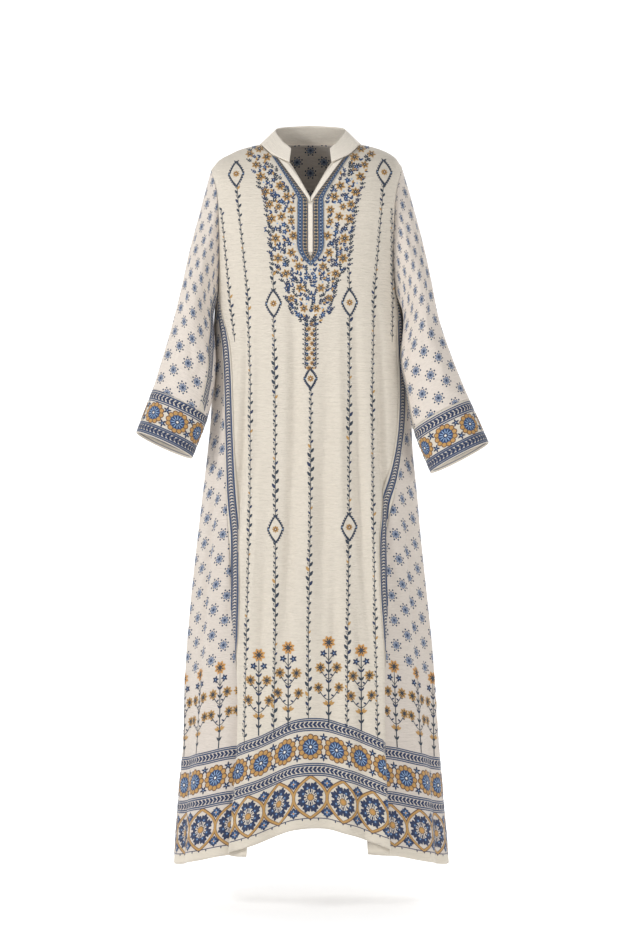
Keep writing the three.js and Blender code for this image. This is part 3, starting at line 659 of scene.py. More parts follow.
def thread_material(name, colour):
    """Satin-stitched thread: fine ridges across the stitch, patches of painted highlight for its sheen,
    and a soft gloss.
    """
    material, tree, shader = new_material(name, {"Roughness": 0.55, "Sheen Weight": 0.15})
    x, y = cloth_uv(tree)
    ridges = (x * (2 * math.pi / 0.00055) + y * 2000).math("SINE") * 0.5 + 0.5
    painted_highlight = noise(tree, x * 260, y * 260, 2.0)
    tone = mix_colour(tree, ridges * 0.35, colour, darker(colour, 0.72))
    # painted highlight: patches of the thread up to 5% lighter, standing in for its sheen
    tone = mix_colour(tree, painted_highlight.below(0.5, 0.35) * 0.35, tone, darker(colour, 1.15))
    tree.links.new(tone, shader.inputs["Base Color"])
    bump(tree, shader, ridges, 0.5, 0.0003)
    return material


def braid_material():
    """The braid's cloth: gold beside the slit and blue outside, by the share across it."""
    material = thread_material("braid", THREADS["gold"])
    tree = material.node_tree
    across, _ = cloth_uv(tree, "OFBake")
    _, along = cloth_uv(tree)
    woven = (along * (2 * math.pi / 0.0028)).math("SINE") * 0.5 + 0.5
    gold = mix_colour(tree, woven * 0.5, srgb(188, 162, 124), srgb(120, 98, 76))
    blue = mix_colour(tree, woven * 0.5, srgb(56, 82, 116), srgb(92, 118, 146))
    tone = mix_colour(tree, across.below(0.48, 0.02).flip(), gold, blue)
    tree.links.new(tone, tree.nodes["Principled BSDF"].inputs["Base Color"])
    return material


# ---- cloth meshes
class Cloth:
    """A grid of points on a surface, with its outward normals and its flat cloth coordinates.

    s runs across and t down the cloth, in millimetres, measured along the cloth itself.
    """

    def __init__(self, surface, us, vs, turn, lay=0, ring=False):
        self.u, self.v = np.meshgrid(np.asarray(us, float), np.asarray(vs, float))
        self.ring, self.turn = ring, turn
        self.points = np.stack(surface(self.u, self.v), axis=-1)
        self.measure()
        if lay:
            self.points = self.points + self.normals * lay
            self.measure()

    def measure(self):
        """Works out the normals, s and t, from the points."""
        p = self.points
        if self.ring:
            wide = np.concatenate([p[:, -2:-1], p, p[:, 1:2]], axis=1)
            du = wide[:, 2:] - wide[:, :-2]
        else:
            du = np.gradient(p, axis=1)
        n = np.cross(du, np.gradient(p, axis=0)) * self.turn
        self.normals = n / np.maximum(np.linalg.norm(n, axis=-1, keepdims=True), 1e-9)
        across = np.linalg.norm(np.diff(p, axis=1), axis=-1)
        down = np.linalg.norm(np.diff(p, axis=0), axis=-1)
        s = np.concatenate([np.zeros((p.shape[0], 1)), np.cumsum(across, axis=1)], axis=1)
        self.t = np.concatenate([np.zeros((1, p.shape[1])), np.cumsum(down, axis=0)], axis=0)
        self.s = s - s[:, p.shape[1] // 2, None]
        self.from_end = self.t[-1:] - self.t
        self.width = s[:, -1]

    def cut(self):
        """Its flat width and length in metres, and the share of that rectangle that it fills."""
        p = self.points * MM
        a = np.cross(p[1:, 1:] - p[:-1, :-1], p[1:, :-1] - p[:-1, 1:])
        area = float(np.linalg.norm(a, axis=-1).sum() / 2)
        width = max(float(self.width.max() * MM), 0.01)
        length = float(self.t[-1].max() * MM)
        return width, length, min(1.0, max(0.3, area / (width * length)))

    def quads(self):
        rows, columns = self.points.shape[:2]
        j, i = np.meshgrid(np.arange(rows - 1), np.arange(columns - 1), indexing="ij")
        a = (j * columns + i).ravel()
        ring = np.stack([a, a + 1, a + columns + 1, a + columns], axis=1)
        return ring if self.turn > 0 else ring[:, ::-1]


def new_object(name, vertices, faces):
    mesh = bpy.data.meshes.new(name)
    mesh.from_pydata(np.asarray(vertices).tolist(), [], [[int(i) for i in f] for f in faces])
    mesh.polygons.foreach_set("use_smooth", [True] * len(mesh.polygons))
    mesh.update()
    obj = bpy.data.objects.new(name, mesh)
    bpy.context.scene.collection.objects.link(obj)
    return obj


def add_uv(obj, name, flat):
    layer = obj.data.uv_layers.new(name=name)
    index = np.empty(len(obj.data.loops), int)
    obj.data.loops.foreach_get("vertex_index", index)
    layer.data.foreach_set("uv", np.asarray(flat, np.float32)[index].ravel())


def cloth_object(cloth, node, material, thick=CLOTH, level=False):
    """The visible cloth of a CAD node: a thin shell whose outer side is the cloth's grid."""
    rows, columns = cloth.points.shape[:2]
    obj = new_object(node + "_cloth", cloth.points.reshape(-1, 3) * MM, cloth.quads())
    flat = np.stack([cloth.s, cloth.from_end], axis=-1).reshape(-1, 2) * MM
    add_uv(obj, "Cloth", flat)
    height = cloth.points[..., 2] * MM if level else cloth.from_end * MM
    add_uv(obj, "Weave", np.stack([cloth.s * MM, height], axis=-1).reshape(-1, 2))
    v, u = np.meshgrid(np.linspace(1, 0, rows), np.linspace(0, 1, columns), indexing="ij")
    add_uv(obj, "OFBake", np.stack([u, v], axis=-1).reshape(-1, 2))
    if cloth.ring:
        weld = obj.modifiers.new("Weld", "WELD")
        weld.merge_threshold = 1e-5
    shell = obj.modifiers.new("Shell", "SOLIDIFY")
    shell.thickness = thick * MM
    shell.offset = -1
    obj.data.materials.append(material)
    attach(obj, "root")
    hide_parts(node)
    width, length, share = cloth.cut()
    return obj


# ---- embroidery
class Chart:
    """Carries flat points (a, b), in millimetres, onto a cloth through its grid."""

    def __init__(self, cloth, a, b, keep=None):
        rows, columns = cloth.points.shape[:2]
        j, i = np.meshgrid(np.arange(rows - 1), np.arange(columns - 1), indexing="ij")
        k = (j * columns + i).ravel()
        triangles = np.concatenate([
            np.stack([k, k + 1, k + columns + 1], axis=1),
            np.stack([k, k + columns + 1, k + columns], axis=1),
        ])
        flat = np.stack([a.ravel(), b.ravel()], axis=1)
        if keep is not None:
            triangles = triangles[keep.ravel()[triangles].all(axis=1)]
        corner = flat[triangles]
        one, two = corner[:, 1] - corner[:, 0], corner[:, 2] - corner[:, 0]
        area = one[:, 0] * two[:, 1] - one[:, 1] * two[:, 0]
        self.triangles = triangles[area * np.sign(np.median(area)) > 1e-6]
        self.flat = flat
        self.points = cloth.points.reshape(-1, 3)
        self.normals = cloth.normals.reshape(-1, 3)
        corners = [(float(x), float(y), 0.0) for x, y in flat]
        self.tree = BVHTree.FromPolygons(corners, [tuple(map(int, t)) for t in self.triangles])

    def carry(self, points, heights):
        """The 3-D points, and which of them lie on the chart."""
        down = (0.0, 0.0, -1.0)
        hits = [self.tree.ray_cast((float(x), float(y), 1.0), down)[2] for x, y in points]
        found = np.array([hit is not None for hit in hits])
        corner = self.triangles[np.array([0 if hit is None else hit for hit in hits])]
        p0, p1, p2 = (self.flat[corner[:, i]] for i in range(3))
        d1, d2, d = p1 - p0, p2 - p0, points - p0
        area = d1[:, 0] * d2[:, 1] - d1[:, 1] * d2[:, 0]
        w1 = (d[:, 0] * d2[:, 1] - d[:, 1] * d2[:, 0]) / area
        w2 = (d1[:, 0] * d[:, 1] - d1[:, 1] * d[:, 0]) / area
        weights = np.stack([1 - w1 - w2, w1, w2], axis=1)[..., None]
        place = (self.points[corner] * weights).sum(axis=1)
        normal = (self.normals[corner] * weights).sum(axis=1)
        normal /= np.maximum(np.linalg.norm(normal, axis=1, keepdims=True), 1e-9)
        return place + normal * heights[:, None], found


THREAD_LIFT = 0.25  # height of a stitch's edge above the cloth
STRIPE_STEP = 4.0  # between the points of a stripe
LEAF_SHAPE = ((0.0, 0.0), (0.22, 0.42), (0.5, 0.5), (0.78, 0.34), (1.0, 0.0))


class Sewing:
    """Flat thread shapes for one chart, gathered and then raised onto its cloth as one piece."""

    def __init__(self, chart, name):
        self.chart, self.name = chart, name
        self.points, self.heights, self.grain, self.faces, self.threads = [], [], [], [], []
        self.count = 0

    def add(self, thread, points, heights, grain, faces):
        self.points.append(np.asarray(points, float))
        self.heights.append(np.asarray(heights, float))
        self.grain.append(np.asarray(grain, float))
        self.faces.extend(tuple(i + self.count for i in face) for face in faces)
        self.threads.extend([thread] * len(faces))
        self.count += len(points)

    def leaf(self, thread, x, y, angle, length, width, height=0.7, low=THREAD_LIFT):
        """A pointed leaf or petal from (x, y) out along angle, in degrees."""
        turn = math.radians(angle)
        c, s = math.cos(turn), math.sin(turn)
        local, heights = [(0.0, 0.0)], [low]
        for along, half in LEAF_SHAPE[1:-1]:
            local += [(along * length, side * half * width) for side in (1, 0, -1)]
            heights += [low, height, low]
        local.append((length, 0.0))
        heights.append(low)
        last = len(local) - 1
        faces = [(0, 2, 1), (0, 3, 2), (last, last - 3, last - 2), (last, last - 2, last - 1)]
        for k in range(len(LEAF_SHAPE) - 3):
            a = 1 + 3 * k
            faces += [(a, a + 1, a + 4, a + 3), (a + 1, a + 2, a + 5, a + 4)]
        points = [(x + c * u - s * v, y + s * u + c * v) for u, v in local]
        self.add(thread, points, heights, local, faces)

    def disc(self, thread, x, y, radius, height=0.8, low=THREAD_LIFT, corners=9):
        """A round patch. A big one has inner rings, so that it follows the cloth."""
        rings = max(1, round(radius / 4))
        around = [2 * math.pi * k / corners for k in range(corners)]
        local, heights = [(0.0, 0.0)], [height]
        for ring in range(1, rings + 1):
            reach = radius * ring / rings
            local += [(reach * math.cos(a), reach * math.sin(a)) for a in around]
            heights += [lerp(height, low, (ring / rings) ** 2)] * corners
        faces = [(0, 1 + k, 1 + (k + 1) % corners) for k in range(corners)]
        for ring in range(rings - 1):
            a = 1 + ring * corners
            for k in range(corners):
                n = (k + 1) % corners
                faces.append((a + k, a + corners + k, a + corners + n, a + n))
        self.add(thread, [(x + u, y + v) for u, v in local], heights, local, faces)

    def bead(self, thread, x, y, radius, height=0.8, low=THREAD_LIFT):
        """A small disc, for a bead or a sequin."""
        self.disc(thread, x, y, radius, height, low, corners=6)

    def rings(self, x, y, size, rows):
        """Discs on one centre: thread, share of the size, height, low and corners of each."""
        for thread, share, height, low, corners in rows:
            self.disc(thread, x, y, size * share, height, low, corners)

    def line(self, thread, path, width, height=0.6, low=THREAD_LIFT):
        """A stem or stripe along a path. width is a number, or a function of 0 to 1 along it."""
        path = np.asarray(path, float)
        ahead = np.gradient(path, axis=0)
        ahead /= np.maximum(np.linalg.norm(ahead, axis=1, keepdims=True), 1e-9)
        sideways = np.stack([-ahead[:, 1], ahead[:, 0]], axis=1)
        share = np.linspace(0, 1, len(path))
        half = np.full(len(path), width / 2) if not callable(width) else width(share) / 2
        run = np.concatenate([[0], np.cumsum(np.linalg.norm(np.diff(path, axis=0), axis=1))])
        points, heights, grain = [], [], []
        for k, (p, n) in enumerate(zip(path, sideways)):
            points += [p + n * half[k], p, p - n * half[k]]
            heights += [low, height, low]
            grain += [(run[k], half[k]), (run[k], 0), (run[k], -half[k])]
        faces = []
        for k in range(len(path) - 1):
            a = 3 * k
            faces += [(a, a + 1, a + 4, a + 3), (a + 1, a + 2, a + 5, a + 4)]
        self.add(thread, points, heights, grain, faces)

    def finish(self):
        """Raises the shapes onto the cloth. Faces that leave the chart are left out."""
        points = np.concatenate(self.points)
        heights = np.concatenate(self.heights)
        grain = np.concatenate(self.grain) * MM
        place, found = self.chart.carry(points, heights)
        used = [k for k, face in enumerate(self.faces) if all(found[i] for i in face)]
        keep = np.unique([i for k in used for i in self.faces[k]])
        index = np.full(len(points), -1)
        index[keep] = np.arange(len(keep))
        faces = [[index[i] for i in self.faces[k]] for k in used]
        obj = new_object(self.name, place[keep] * MM, faces)
        add_uv(obj, "Cloth", grain[keep])
        names = sorted(set(self.threads[k] for k in used))
        for name in names:
            obj.data.materials.append(THREAD_MATERIALS[name])
        order = {name: i for i, name in enumerate(names)}
        obj.data.polygons.foreach_set("material_index", [order[self.threads[k]] for k in used])
        turn_outwards(obj, self.chart)
        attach(obj, "root")
        return obj


def turn_outwards(obj, chart):
    """Flips the piece if its first face points into the cloth."""
    mesh = obj.data
    face = mesh.polygons[0]
    centre = np.array(face.center) / MM
    nearest = np.argmin(((chart.points - centre) ** 2).sum(axis=1))
    if np.dot(chart.normals[nearest], face.normal) < 0:
        mesh.flip_normals()


def embroider(chart, name, slot, work, *sizes, **more):
    """Makes one piece of embroidery, which the function work draws on the chart."""
    sewing = Sewing(chart, name)
    work(sewing, *sizes, **more)
    sewing.finish()


THREAD_MATERIALS = {name: thread_material("thread_" + name, c) for name, c in THREADS.items()}


# ---- motifs, in flat millimetres
def ray(x, y, angle, reach, tall=1.0):
    """The point at a distance from (x, y) along an angle in degrees. tall stretches it upwards."""
    a = math.radians(angle)
    return x + reach * math.cos(a), y + reach * (math.sin(a) * tall)


def flower(sew, x, y, radius, petals=6, thread="gold", heart="brown", turn=0.0, wide=0.54):
    for k in range(petals):
        angle = turn + 360 * k / petals
        sew.leaf(thread, x, y, angle, radius, radius * wide)
        sew.leaf(heart, x, y, angle, radius * 0.72, radius * 0.17, height=0.95, low=0.75)
    sew.disc(heart, x, y, radius * 0.28, height=1.1, low=0.7)


def floret(sew, x, y, radius, thread, turn):
    """Five short petals of one colour."""
    for k in range(5):
        sew.leaf(thread, x, y, turn + 72 * k, radius, radius * 0.55)


VINE_STEP = 9.2  # from one leaf to the next
STEM_GAP, LEAF_GAP = 24, 30  # how far stem and leaves stay from the middle of a lozenge


def vine(sew, path, size=1.0, start=0, gaps=()):
    """A stem with single leaves to the left and right in turn, bold and fine by stretches.

    gaps are the heights of the lozenges that it stops for.
    """
    path = np.asarray(path, float)
    run = np.concatenate([[0], np.cumsum(np.linalg.norm(np.diff(path, axis=0), axis=1))])
    open_path = [[]]
    for x, y in path:
        if any(abs(y - gap) < STEM_GAP for gap in gaps):
            open_path.append([])
        else:
            open_path[-1].append((x, y))
    for piece in open_path:
        if len(piece) > 2:
            sew.line("ink", piece, 0.7 + 0.5 * size)
    for k in range(int(run[-1] / VINE_STEP)):
        at = (k + 0.5) * VINE_STEP
        x, y = np.interp(at, run, path[:, 0]), np.interp(at, run, path[:, 1])
        if any(abs(y - gap) < LEAF_GAP for gap in gaps):
            continue
        side = 1 if k % 2 else -1
        bold = size * (0.7 + 0.42 * max(0, math.sin(at / 34 + start * 1.7)))
        thread = "gold" if (k + 2 * start) % 13 == 3 else ("navy" if k % 5 == 1 else "ink")
        sew.leaf(thread, x, y, 90 - side * 34, 10.5 * bold, 4.8 * bold)
        if k % 2:
            sew.line("ink", [(x, y), (x - 2.4, y + 3), (x - 3.2, y + 6.5)], 0.8)
            sew.bead("ink", x - 3.2, y + 7, 1.2 * size)
        elif k % 4 == 0:
            sew.bead("white", x + 3.4, y + 2, 1.2, height=1.1, low=0.5)


def diamond(sew, x, y, half_wide=14, half_tall=25):
    """A lozenge of overlapping leaves round a small gold flower."""
    corners = [(x, y + half_tall), (x + half_wide, y), (x, y - half_tall), (x - half_wide, y)]
    for (ax, ay), (bx, by) in zip(corners, corners[1:] + corners[:1]):
        along = math.degrees(math.atan2(by - ay, bx - ax))
        bow_x = (ax + bx) / 2 + (ax + bx - 2 * x) * 0.13
        bow_y = (ay + by) / 2 + (ay + by - 2 * y) * 0.13
        for t in np.linspace(0, 0.86, 6):
            px = (1 - t) ** 2 * ax + 2 * t * (1 - t) * bow_x + t * t * bx
            py = (1 - t) ** 2 * ay + 2 * t * (1 - t) * bow_y + t * t * by
            sew.leaf("ink", px, py, along, 7.4, 3.3)
            sew.leaf("navy", px, py, along + 42, 5, 2.4)
    flower(sew, x, y, 7, petals=8)
    sew.bead("white", x, y, 1.2, height=1.5, low=0.9)
    for side in (-1, 1):
        sew.disc("sky", x + side * half_wide, y, 1.8, height=1.0, corners=7)
        sew.leaf("ink", x, y + half_tall - 1, 90 - side * 40, 8, 2.6)
        sew.leaf("ink", x, y - half_tall, 90 - side * 50, 8, 2.8)


# A plant's branches: the heights of their ends, their reach and their flower's radius.
PLANT_BRANCHES = ((84, 104, 16, 11), (44, 66, 20, 10.5))
# Its leaves: height, tilt from upright and thread.
PLANT_LEAVES = (
    (112, 40, "navy"), (96, 34, "ink"), (76, 36, "navy"), (58, 32, "ink"), (30, 28, "ink"),
    (14, 34, "ink"),
)


def plant(sew, x, y):
    """A flowering stem 165 mm tall: a large flower, blue sprigs, branches with smaller flowers."""
    sew.line("ink", [(x, y + t) for t in np.linspace(0, 150, 26)], lambda share: 2.6 - 1.2 * share)
    flower(sew, x, y + 154, 13.5, petals=8, thread="amber", heart="ink", turn=22.5, wide=0.56)
    for side in (-1, 1):
        sew.line("ink", [(x, y + 119), (x + side * 5, y + 126), (x + side * 9, y + 131)], 1.3)
        floret(sew, x + side * 10, y + 133, 7.5, "navy", turn=90 + side * 20)
        sew.bead("sky", x + side * 10, y + 133, 1.4, height=1.1, low=0.8)
        for low, high, reach, size in PLANT_BRANCHES:
            t = np.linspace(0, 1, 8)
            rise = y + low + (high - low) * t ** 1.4
            branch = np.stack([x + side * reach * t ** 0.8, rise], axis=1)
            sew.line("ink", branch, 1.5)
            flower(sew, branch[-1][0], branch[-1][1] + 2, size, petals=8, heart="ink")
            sew.leaf("navy", *branch[3], 90 + side * 60, 7, 3.2)
            sew.leaf("ink", *branch[5], 90 - side * 100, 6, 2.6)
        for height, tilt, thread in PLANT_LEAVES:
            sew.leaf(thread, x, y + height, 90 - side * tilt, 10, 3.6)
        for tilt, length, width in ((62, 12, 5.4), (30, 11, 4.6)):
            sew.leaf("gold", x + side * 1, y + 34, 90 - side * tilt, length, width)


def medallion(sew, x, y, radius):
    """A round flower: twelve scalloped gold petals outside, blue petals within, a pale heart."""
    for angle in range(0, 360, 30):
        tip = ray(x, y, angle, radius * 0.76)
        sew.disc("brown", *tip, radius * 0.25, height=0.35, low=0.25)
        sew.disc("gold", *tip, radius * 0.17, height=0.75, low=0.4)
        sew.leaf("amber", *tip, angle, radius * 0.18, radius * 0.12, height=0.95, low=0.7)
    sew.rings(x, y, radius, (("brown", 0.66, 0.45, 0.4, 24), ("blue", 0.6, 0.55, 0.5, 24)))
    for angle in range(0, 360, 30):
        sew.leaf("navy", x, y, angle, radius * 0.58, radius * 0.1, height=0.85, low=0.62)
        sew.leaf("sky", x, y, angle + 15, radius * 0.6, radius * 0.09, height=0.9, low=0.65)
    sew.rings(x, y, radius, (("navy", 0.2, 1.1, 0.95, 12), ("white", 0.1, 1.3, 1.05, 8)))


def sprig(sew, x, y, size, up=1):
    """A navy star of five leaves with a pale heart, between larger motifs."""
    for k in range(5):
        sew.leaf("navy", x, y, 90 * up + 72 * k, size, size * 0.44)
    sew.bead("sky", x, y, size * 0.16, height=1.0, low=0.7)


def stripes(sew, a0, a1, heights):
    """Lines across the cloth: (height, width, thread)."""
    across = np.arange(a0, a1 + STRIPE_STEP, STRIPE_STEP)
    for height, width, thread in heights:
        path = np.stack([across, np.full(len(across), height)], axis=1)
        sew.line(thread, path, width, height=0.4, low=0.2)


def leaf_row(sew, a0, a1, y, pitch=8.4, size=9.0):
    """A row of paired leaves with a bead at the foot of each pair."""
    for x in np.arange(a0, a1, pitch):
        for lean in (-36, 36):
            sew.leaf("navy", x, y, lean, size, 4.9, height=0.6, low=0.2)
        sew.bead("slate", x - 0.5, y, 1.5, height=0.7, low=0.3)


def frame_curve(x, y, half_wide, half_tall, side, up):
    """A quarter of a pointed round frame, from its tip to its widest point."""
    angle = np.linspace(0, math.pi / 2, 15)
    sin, cos = np.sin(angle), np.cos(angle)
    rise = half_tall * (0.74 * cos + 0.26 * (1 - sin) ** 2)
    return np.stack([x + side * half_wide * sin, y + up * rise], axis=1)


def petal_head(sew, x, y, angle, size):
    """A fan of short navy petals round a pale bead."""
    for lean, reach in ((0, 1.0), (44, 0.86), (-44, 0.86), (88, 0.66), (-88, 0.66)):
        sew.leaf("navy", x, y, angle + lean, size * reach, size * 0.58)
    sew.rings(x, y, size, (("blue", 0.26, 0.9, 0.6, 7), ("sky", 0.12, 1.1, 0.85, 6)))


def ogee(sew, x, y, half_wide, half_tall):
    """A pointed round frame in gold with a cluster of eight navy heads inside."""
    for side in (-1, 1):
        for up in (-1, 1):
            edge = frame_curve(x, y, half_wide + 0.2, half_tall, side, up)
            sew.line("brown", edge, 6.2, height=0.35, low=0.2)
            middle = frame_curve(x, y, half_wide - 0.2, half_tall - 0.6, side, up)
            sew.line("gold", middle, 3.8, height=0.7, low=0.4)
    reach = half_wide - 5
    tall = (half_tall - 6) / reach
    for angle in range(0, 360, 45):
        turn = angle + 22.5
        sew.line("navy", [ray(x, y, turn, reach * share, tall) for share in (0.2, 0.6)], 1.2)
        petal_head(sew, *ray(x, y, turn, reach * 0.56, tall), turn, reach * 0.46)
        sew.leaf("navy", *ray(x, y, angle, reach * 0.3), angle, reach * 0.3, reach * 0.12)
    sew.rings(x, y, reach, (
        ("brown", 0.25, 0.8, 0.5, 16), ("gold", 0.21, 1.1, 0.85, 12), ("amber", 0.1, 1.25, 1.0, 8),
    ))


def lozenge(sew, x, y, half_wide, half_tall):
    """A small four-cornered flower between the frames."""
    for angle, reach in ((0, half_wide), (90, half_tall), (180, half_wide), (270, half_tall)):
        sew.leaf("navy", x, y, angle, reach, reach * 0.7)
    for k in range(4):
        sew.leaf("blue", x, y, 45 + 90 * k, half_wide * 0.8, half_wide * 0.42)
        sew.leaf("sky", x, y, 90 * k, half_wide * 0.5, half_wide * 0.2, height=1.0, low=0.7)
    sew.bead("amber", x, y, half_wide * 0.17, height=1.2, low=0.9)


# Heights of the hem border above the hem, in millimetres.
FACING_TOP, HEM_LINE = 18, 20
BORDER = {"trellis": 60, "low_leaves": 113, "medallions": 156, "high_leaves": 199, "top": 212}
MEDALLION_STEP, OGEE_STEP = 52.0, 66.0
MEDALLION_RADIUS, OGEE_HALF_TALL = 25.5, 40
PLANT_STEP = 56
FRONT_HALF, BACK_HALF, SIDE_PHASE = 196, 200, 26  # reach of the borders, and the sides' first repeat
# The cuff's border: heights of its leaf rows and medallions above its end, their steps and radius.
CUFF_ROWS, CUFF_MEDALLIONS = (13, 78), 45.5
CUFF_LEAF_STEP, CUFF_MEDALLION_STEP, CUFF_MEDALLION_RADIUS = 8, 51, 22


def border_lines(middle, half):
    """Two double stripes either side of a leaf row."""
    return [(middle + side * (half + off), width, "slate")
            for side in (-1, 1) for off, width in ((0.0, 2.8), (3.7, 2.2))]


def repeats(a0, a1, phase, step):
    """The middles of a pattern's repeats from a0 to a1."""
    first, last = math.floor((a0 - phase) / step), int((a1 - phase) / step) + 1
    return [phase + k * step for k in range(first, last + 1)]


def hem_border(sew, a0, a1, phase=0.0, plants=()):
    """The whole border from a0 to a1 round the hem, with plants growing out of it."""
    low, high = BORDER["low_leaves"], BORDER["high_leaves"]
    stripes(sew, a0, a1, [(HEM_LINE, 1.6, "navy")] + border_lines(low, 7.6) + border_lines(high, 7.6))
    leaf_row(sew, a0, a1, low)
    leaf_row(sew, a0, a1, high)
    for x in repeats(a0, a1, phase, MEDALLION_STEP):
        medallion(sew, x, BORDER["medallions"], MEDALLION_RADIUS)
        for up in (-1, 1):
            sprig(sew, x + MEDALLION_STEP / 2, BORDER["medallions"] + up * 19, 8.5, up)
    for x in repeats(a0, a1, phase, OGEE_STEP):
        ogee(sew, x, BORDER["trellis"], OGEE_STEP / 2, OGEE_HALF_TALL)
        for drop in (-16, 0, 16):
            sew.leaf("navy", x + drop, HEM_LINE, -90, 5, 2.6)
        for up in (-1, 1):
            lozenge(sew, x + OGEE_STEP / 2, BORDER["trellis"] + up * 28, 12.5, 11)
    for x in plants:
        plant(sew, x, BORDER["top"])


def cuff_border(sew, around):
    """Stripes, leaf rows and medallions, a whole number of them round the cuff."""
    pitch = around / round(around / CUFF_LEAF_STEP)
    for middle in CUFF_ROWS:
        stripes(sew, -around / 2, around / 2, border_lines(middle, 6.4))
        leaf_row(sew, -around / 2, around / 2, middle, pitch=pitch, size=8)
    count = round(around / CUFF_MEDALLION_STEP)
    step = around / count
    for k in range(count):
        x = -around / 2 + (k + 0.5) * step
        medallion(sew, x, CUFF_MEDALLIONS, CUFF_MEDALLION_RADIUS)
        for up in (-1, 1):
            sprig(sew, x + step / 2, CUFF_MEDALLIONS + up * 13.5, 8, up)


# ---- yoke, vines and plants
# The yoke's half width and where its inner edge, beside the neck braid, lies.
YOKE = Table("z half inner", [
    (6, 126, 100), (-30, 121, 78), (-60, 108, 58), (-101, 92, 31), (-145, 83, 30), (-206, 77, 29),
    (-232, 75, 14), (-246, 66, 0), (-278, 49, 0), (-300, 45, 0), (-325, 40, 0), (-348, 24, 0),
    (-360, 8, 0),
])
# Flowers of one half: distance from the middle, height and radius.
YOKE_FLOWERS = [
    (101, -4, 9), (87, -24, 9.5), (120, -15, 8.5), (107, -40, 8), (98, -65, 9.5), (59, -85, 9.5),
    (88, -97, 9), (47, -107, 9), (79, -122, 8.5), (63, -127, 7), (38, -133, 8.5), (76, -150, 9.5),
    (56, -146, 9), (37, -156, 7.5), (67, -189, 9.5), (34, -184, 9), (36, -217, 9), (64, -228, 9.5),
    (24, -244, 8.5), (48, -258, 8.5), (20, -286, 8.5), (36, -306, 7.5), (12, -326, 8),
]
YOKE_FLORETS = [
    (112, 2), (90, -46), (80, -58), (72, -73), (70, -107), (57, -116), (52, -162), (68, -170),
    (50, -176), (41, -199), (50, -240), (70, -210), (34, -270), (8, -266), (24, -338), (5, -306),
]
YOKE_SCROLLS = [
    (76, -80, 60), (48, -203, 120), (56, -217, 200), (84, -172, 80), (30, -262, 100), (44, -288, 60),
]
YOKE_GRID, YOKE_STRAY = 8.2, 1.6  # between the small sprays, and how far each one strays
YOKE_MARGIN, NECK_MARGIN, FLOWER_MARGIN = 3, 9, 1.2  # kept free inside the edges and round a flower
YOKE_TAIL = np.arange(-352, -444, -9.5)  # heights of the tail's flowers


def scroll(sew, x, y, angle, size):
    """A curled tendril: a shrinking spiral with two small leaves on it."""
    t = np.linspace(0, 1, 12)
    turn = math.radians(angle) + t * 4.2
    reach = size * (1 - 0.75 * t)
    path = np.stack([x + reach * np.cos(turn), y + reach * np.sin(turn)], axis=1)
    sew.line("blue", path, lambda share: 2.2 - 1.2 * share)
    for k in (2, 5):
        sew.leaf("blue", *path[k], math.degrees(turn[k]), size * 0.6, 2.2)


def spray(sew, x, y, angle, length, thread, bend=0.0):
    """A short bent stem with pairs of leaves and one at its tip."""
    t = np.linspace(0, 1, 6)
    turn = np.radians(angle + bend * t)
    step = length / 5
    xs = x + np.concatenate([[0], np.cumsum(np.cos(turn[1:]) * step)])
    ys = y + np.concatenate([[0], np.cumsum(np.sin(turn[1:]) * step)])
    sew.line(thread, np.stack([xs, ys], axis=1), 1.0)
    for k in (1, 3):
        for lean in (-52, 52):
            sew.leaf(thread, xs[k], ys[k], math.degrees(turn[k]) + lean, length * 0.5, 2.5)
    sew.leaf(thread, xs[-1], ys[-1], math.degrees(turn[-1]), length * 0.5, 2.7)


def yoke_flowers(sew, dice):
    """The flowers, florets and scrolls, and the places (x, z, radius) that they take."""
    taken = []
    for side in (-1, 1):
        for out, z, radius in YOKE_FLOWERS:
            x = side * out + dice.uniform(-1, 1)
            petals = dice.choice((6, 7))
            flower(sew, x, z, radius * 1.12, petals, turn=dice.uniform(0, 60), heart="ink")
            sew.bead("white", x, z, 0.9, height=1.5, low=0.9)
            taken.append((x, z, radius + 1))
        for out, z in YOKE_FLORETS:
            x = side * out
            floret(sew, x, z, 6.2, dice.choice(("navy", "blue")), turn=dice.uniform(0, 72))
            sew.disc("sky", x, z, 1.3, height=1.1, low=0.7, corners=7)
            taken.append((x, z, 4.6))
        for out, z, turn in YOKE_SCROLLS:
            scroll(sew, side * out, z, turn if side > 0 else 180 - turn, 6)
    return taken


def yoke_room(x, z, taken):
    """Whether a small spray may stand here: inside the yoke and clear of the places taken."""
    out = abs(x)
    if out > YOKE.read("half", z) - YOKE_MARGIN or out < YOKE.read("inner", z):
        return False
    if z > NECKLINE.read("front", out) - NECK_MARGIN:
        return False
    return all(math.hypot(x - a, z - b) >= c + FLOWER_MARGIN for a, b, c in taken)


def yoke_spray(sew, dice, x, z):
    """One spray, pair of leaves or sequin, as the draw falls."""
    lean = 90 - math.copysign(35, x) + dice.uniform(-35, 35)
    pick = dice.random()
    if pick < 0.5:
        thread = dice.choice(("ink", "ink", "navy", "blue"))
        spray(sew, x, z - 4, lean, 9, thread, dice.uniform(-50, 50))
    elif pick < 0.72:
        sew.leaf("blue", x, z - 2, lean, 9, 4)
        sew.leaf("navy", x, z - 2, lean + 60, 7, 3.4)
    elif pick < 0.93:
        sew.leaf("gold", x, z - 2, lean, 8.5, 4)
        sew.leaf("navy", x, z - 2, lean - 55, 7, 3.2)
    else:
        sew.disc("sky", x, z, 1.7, corners=7)
    if dice.random() < 0.5:
        sew.bead("white", x + 4, z + 3, 1.1, height=1.0)


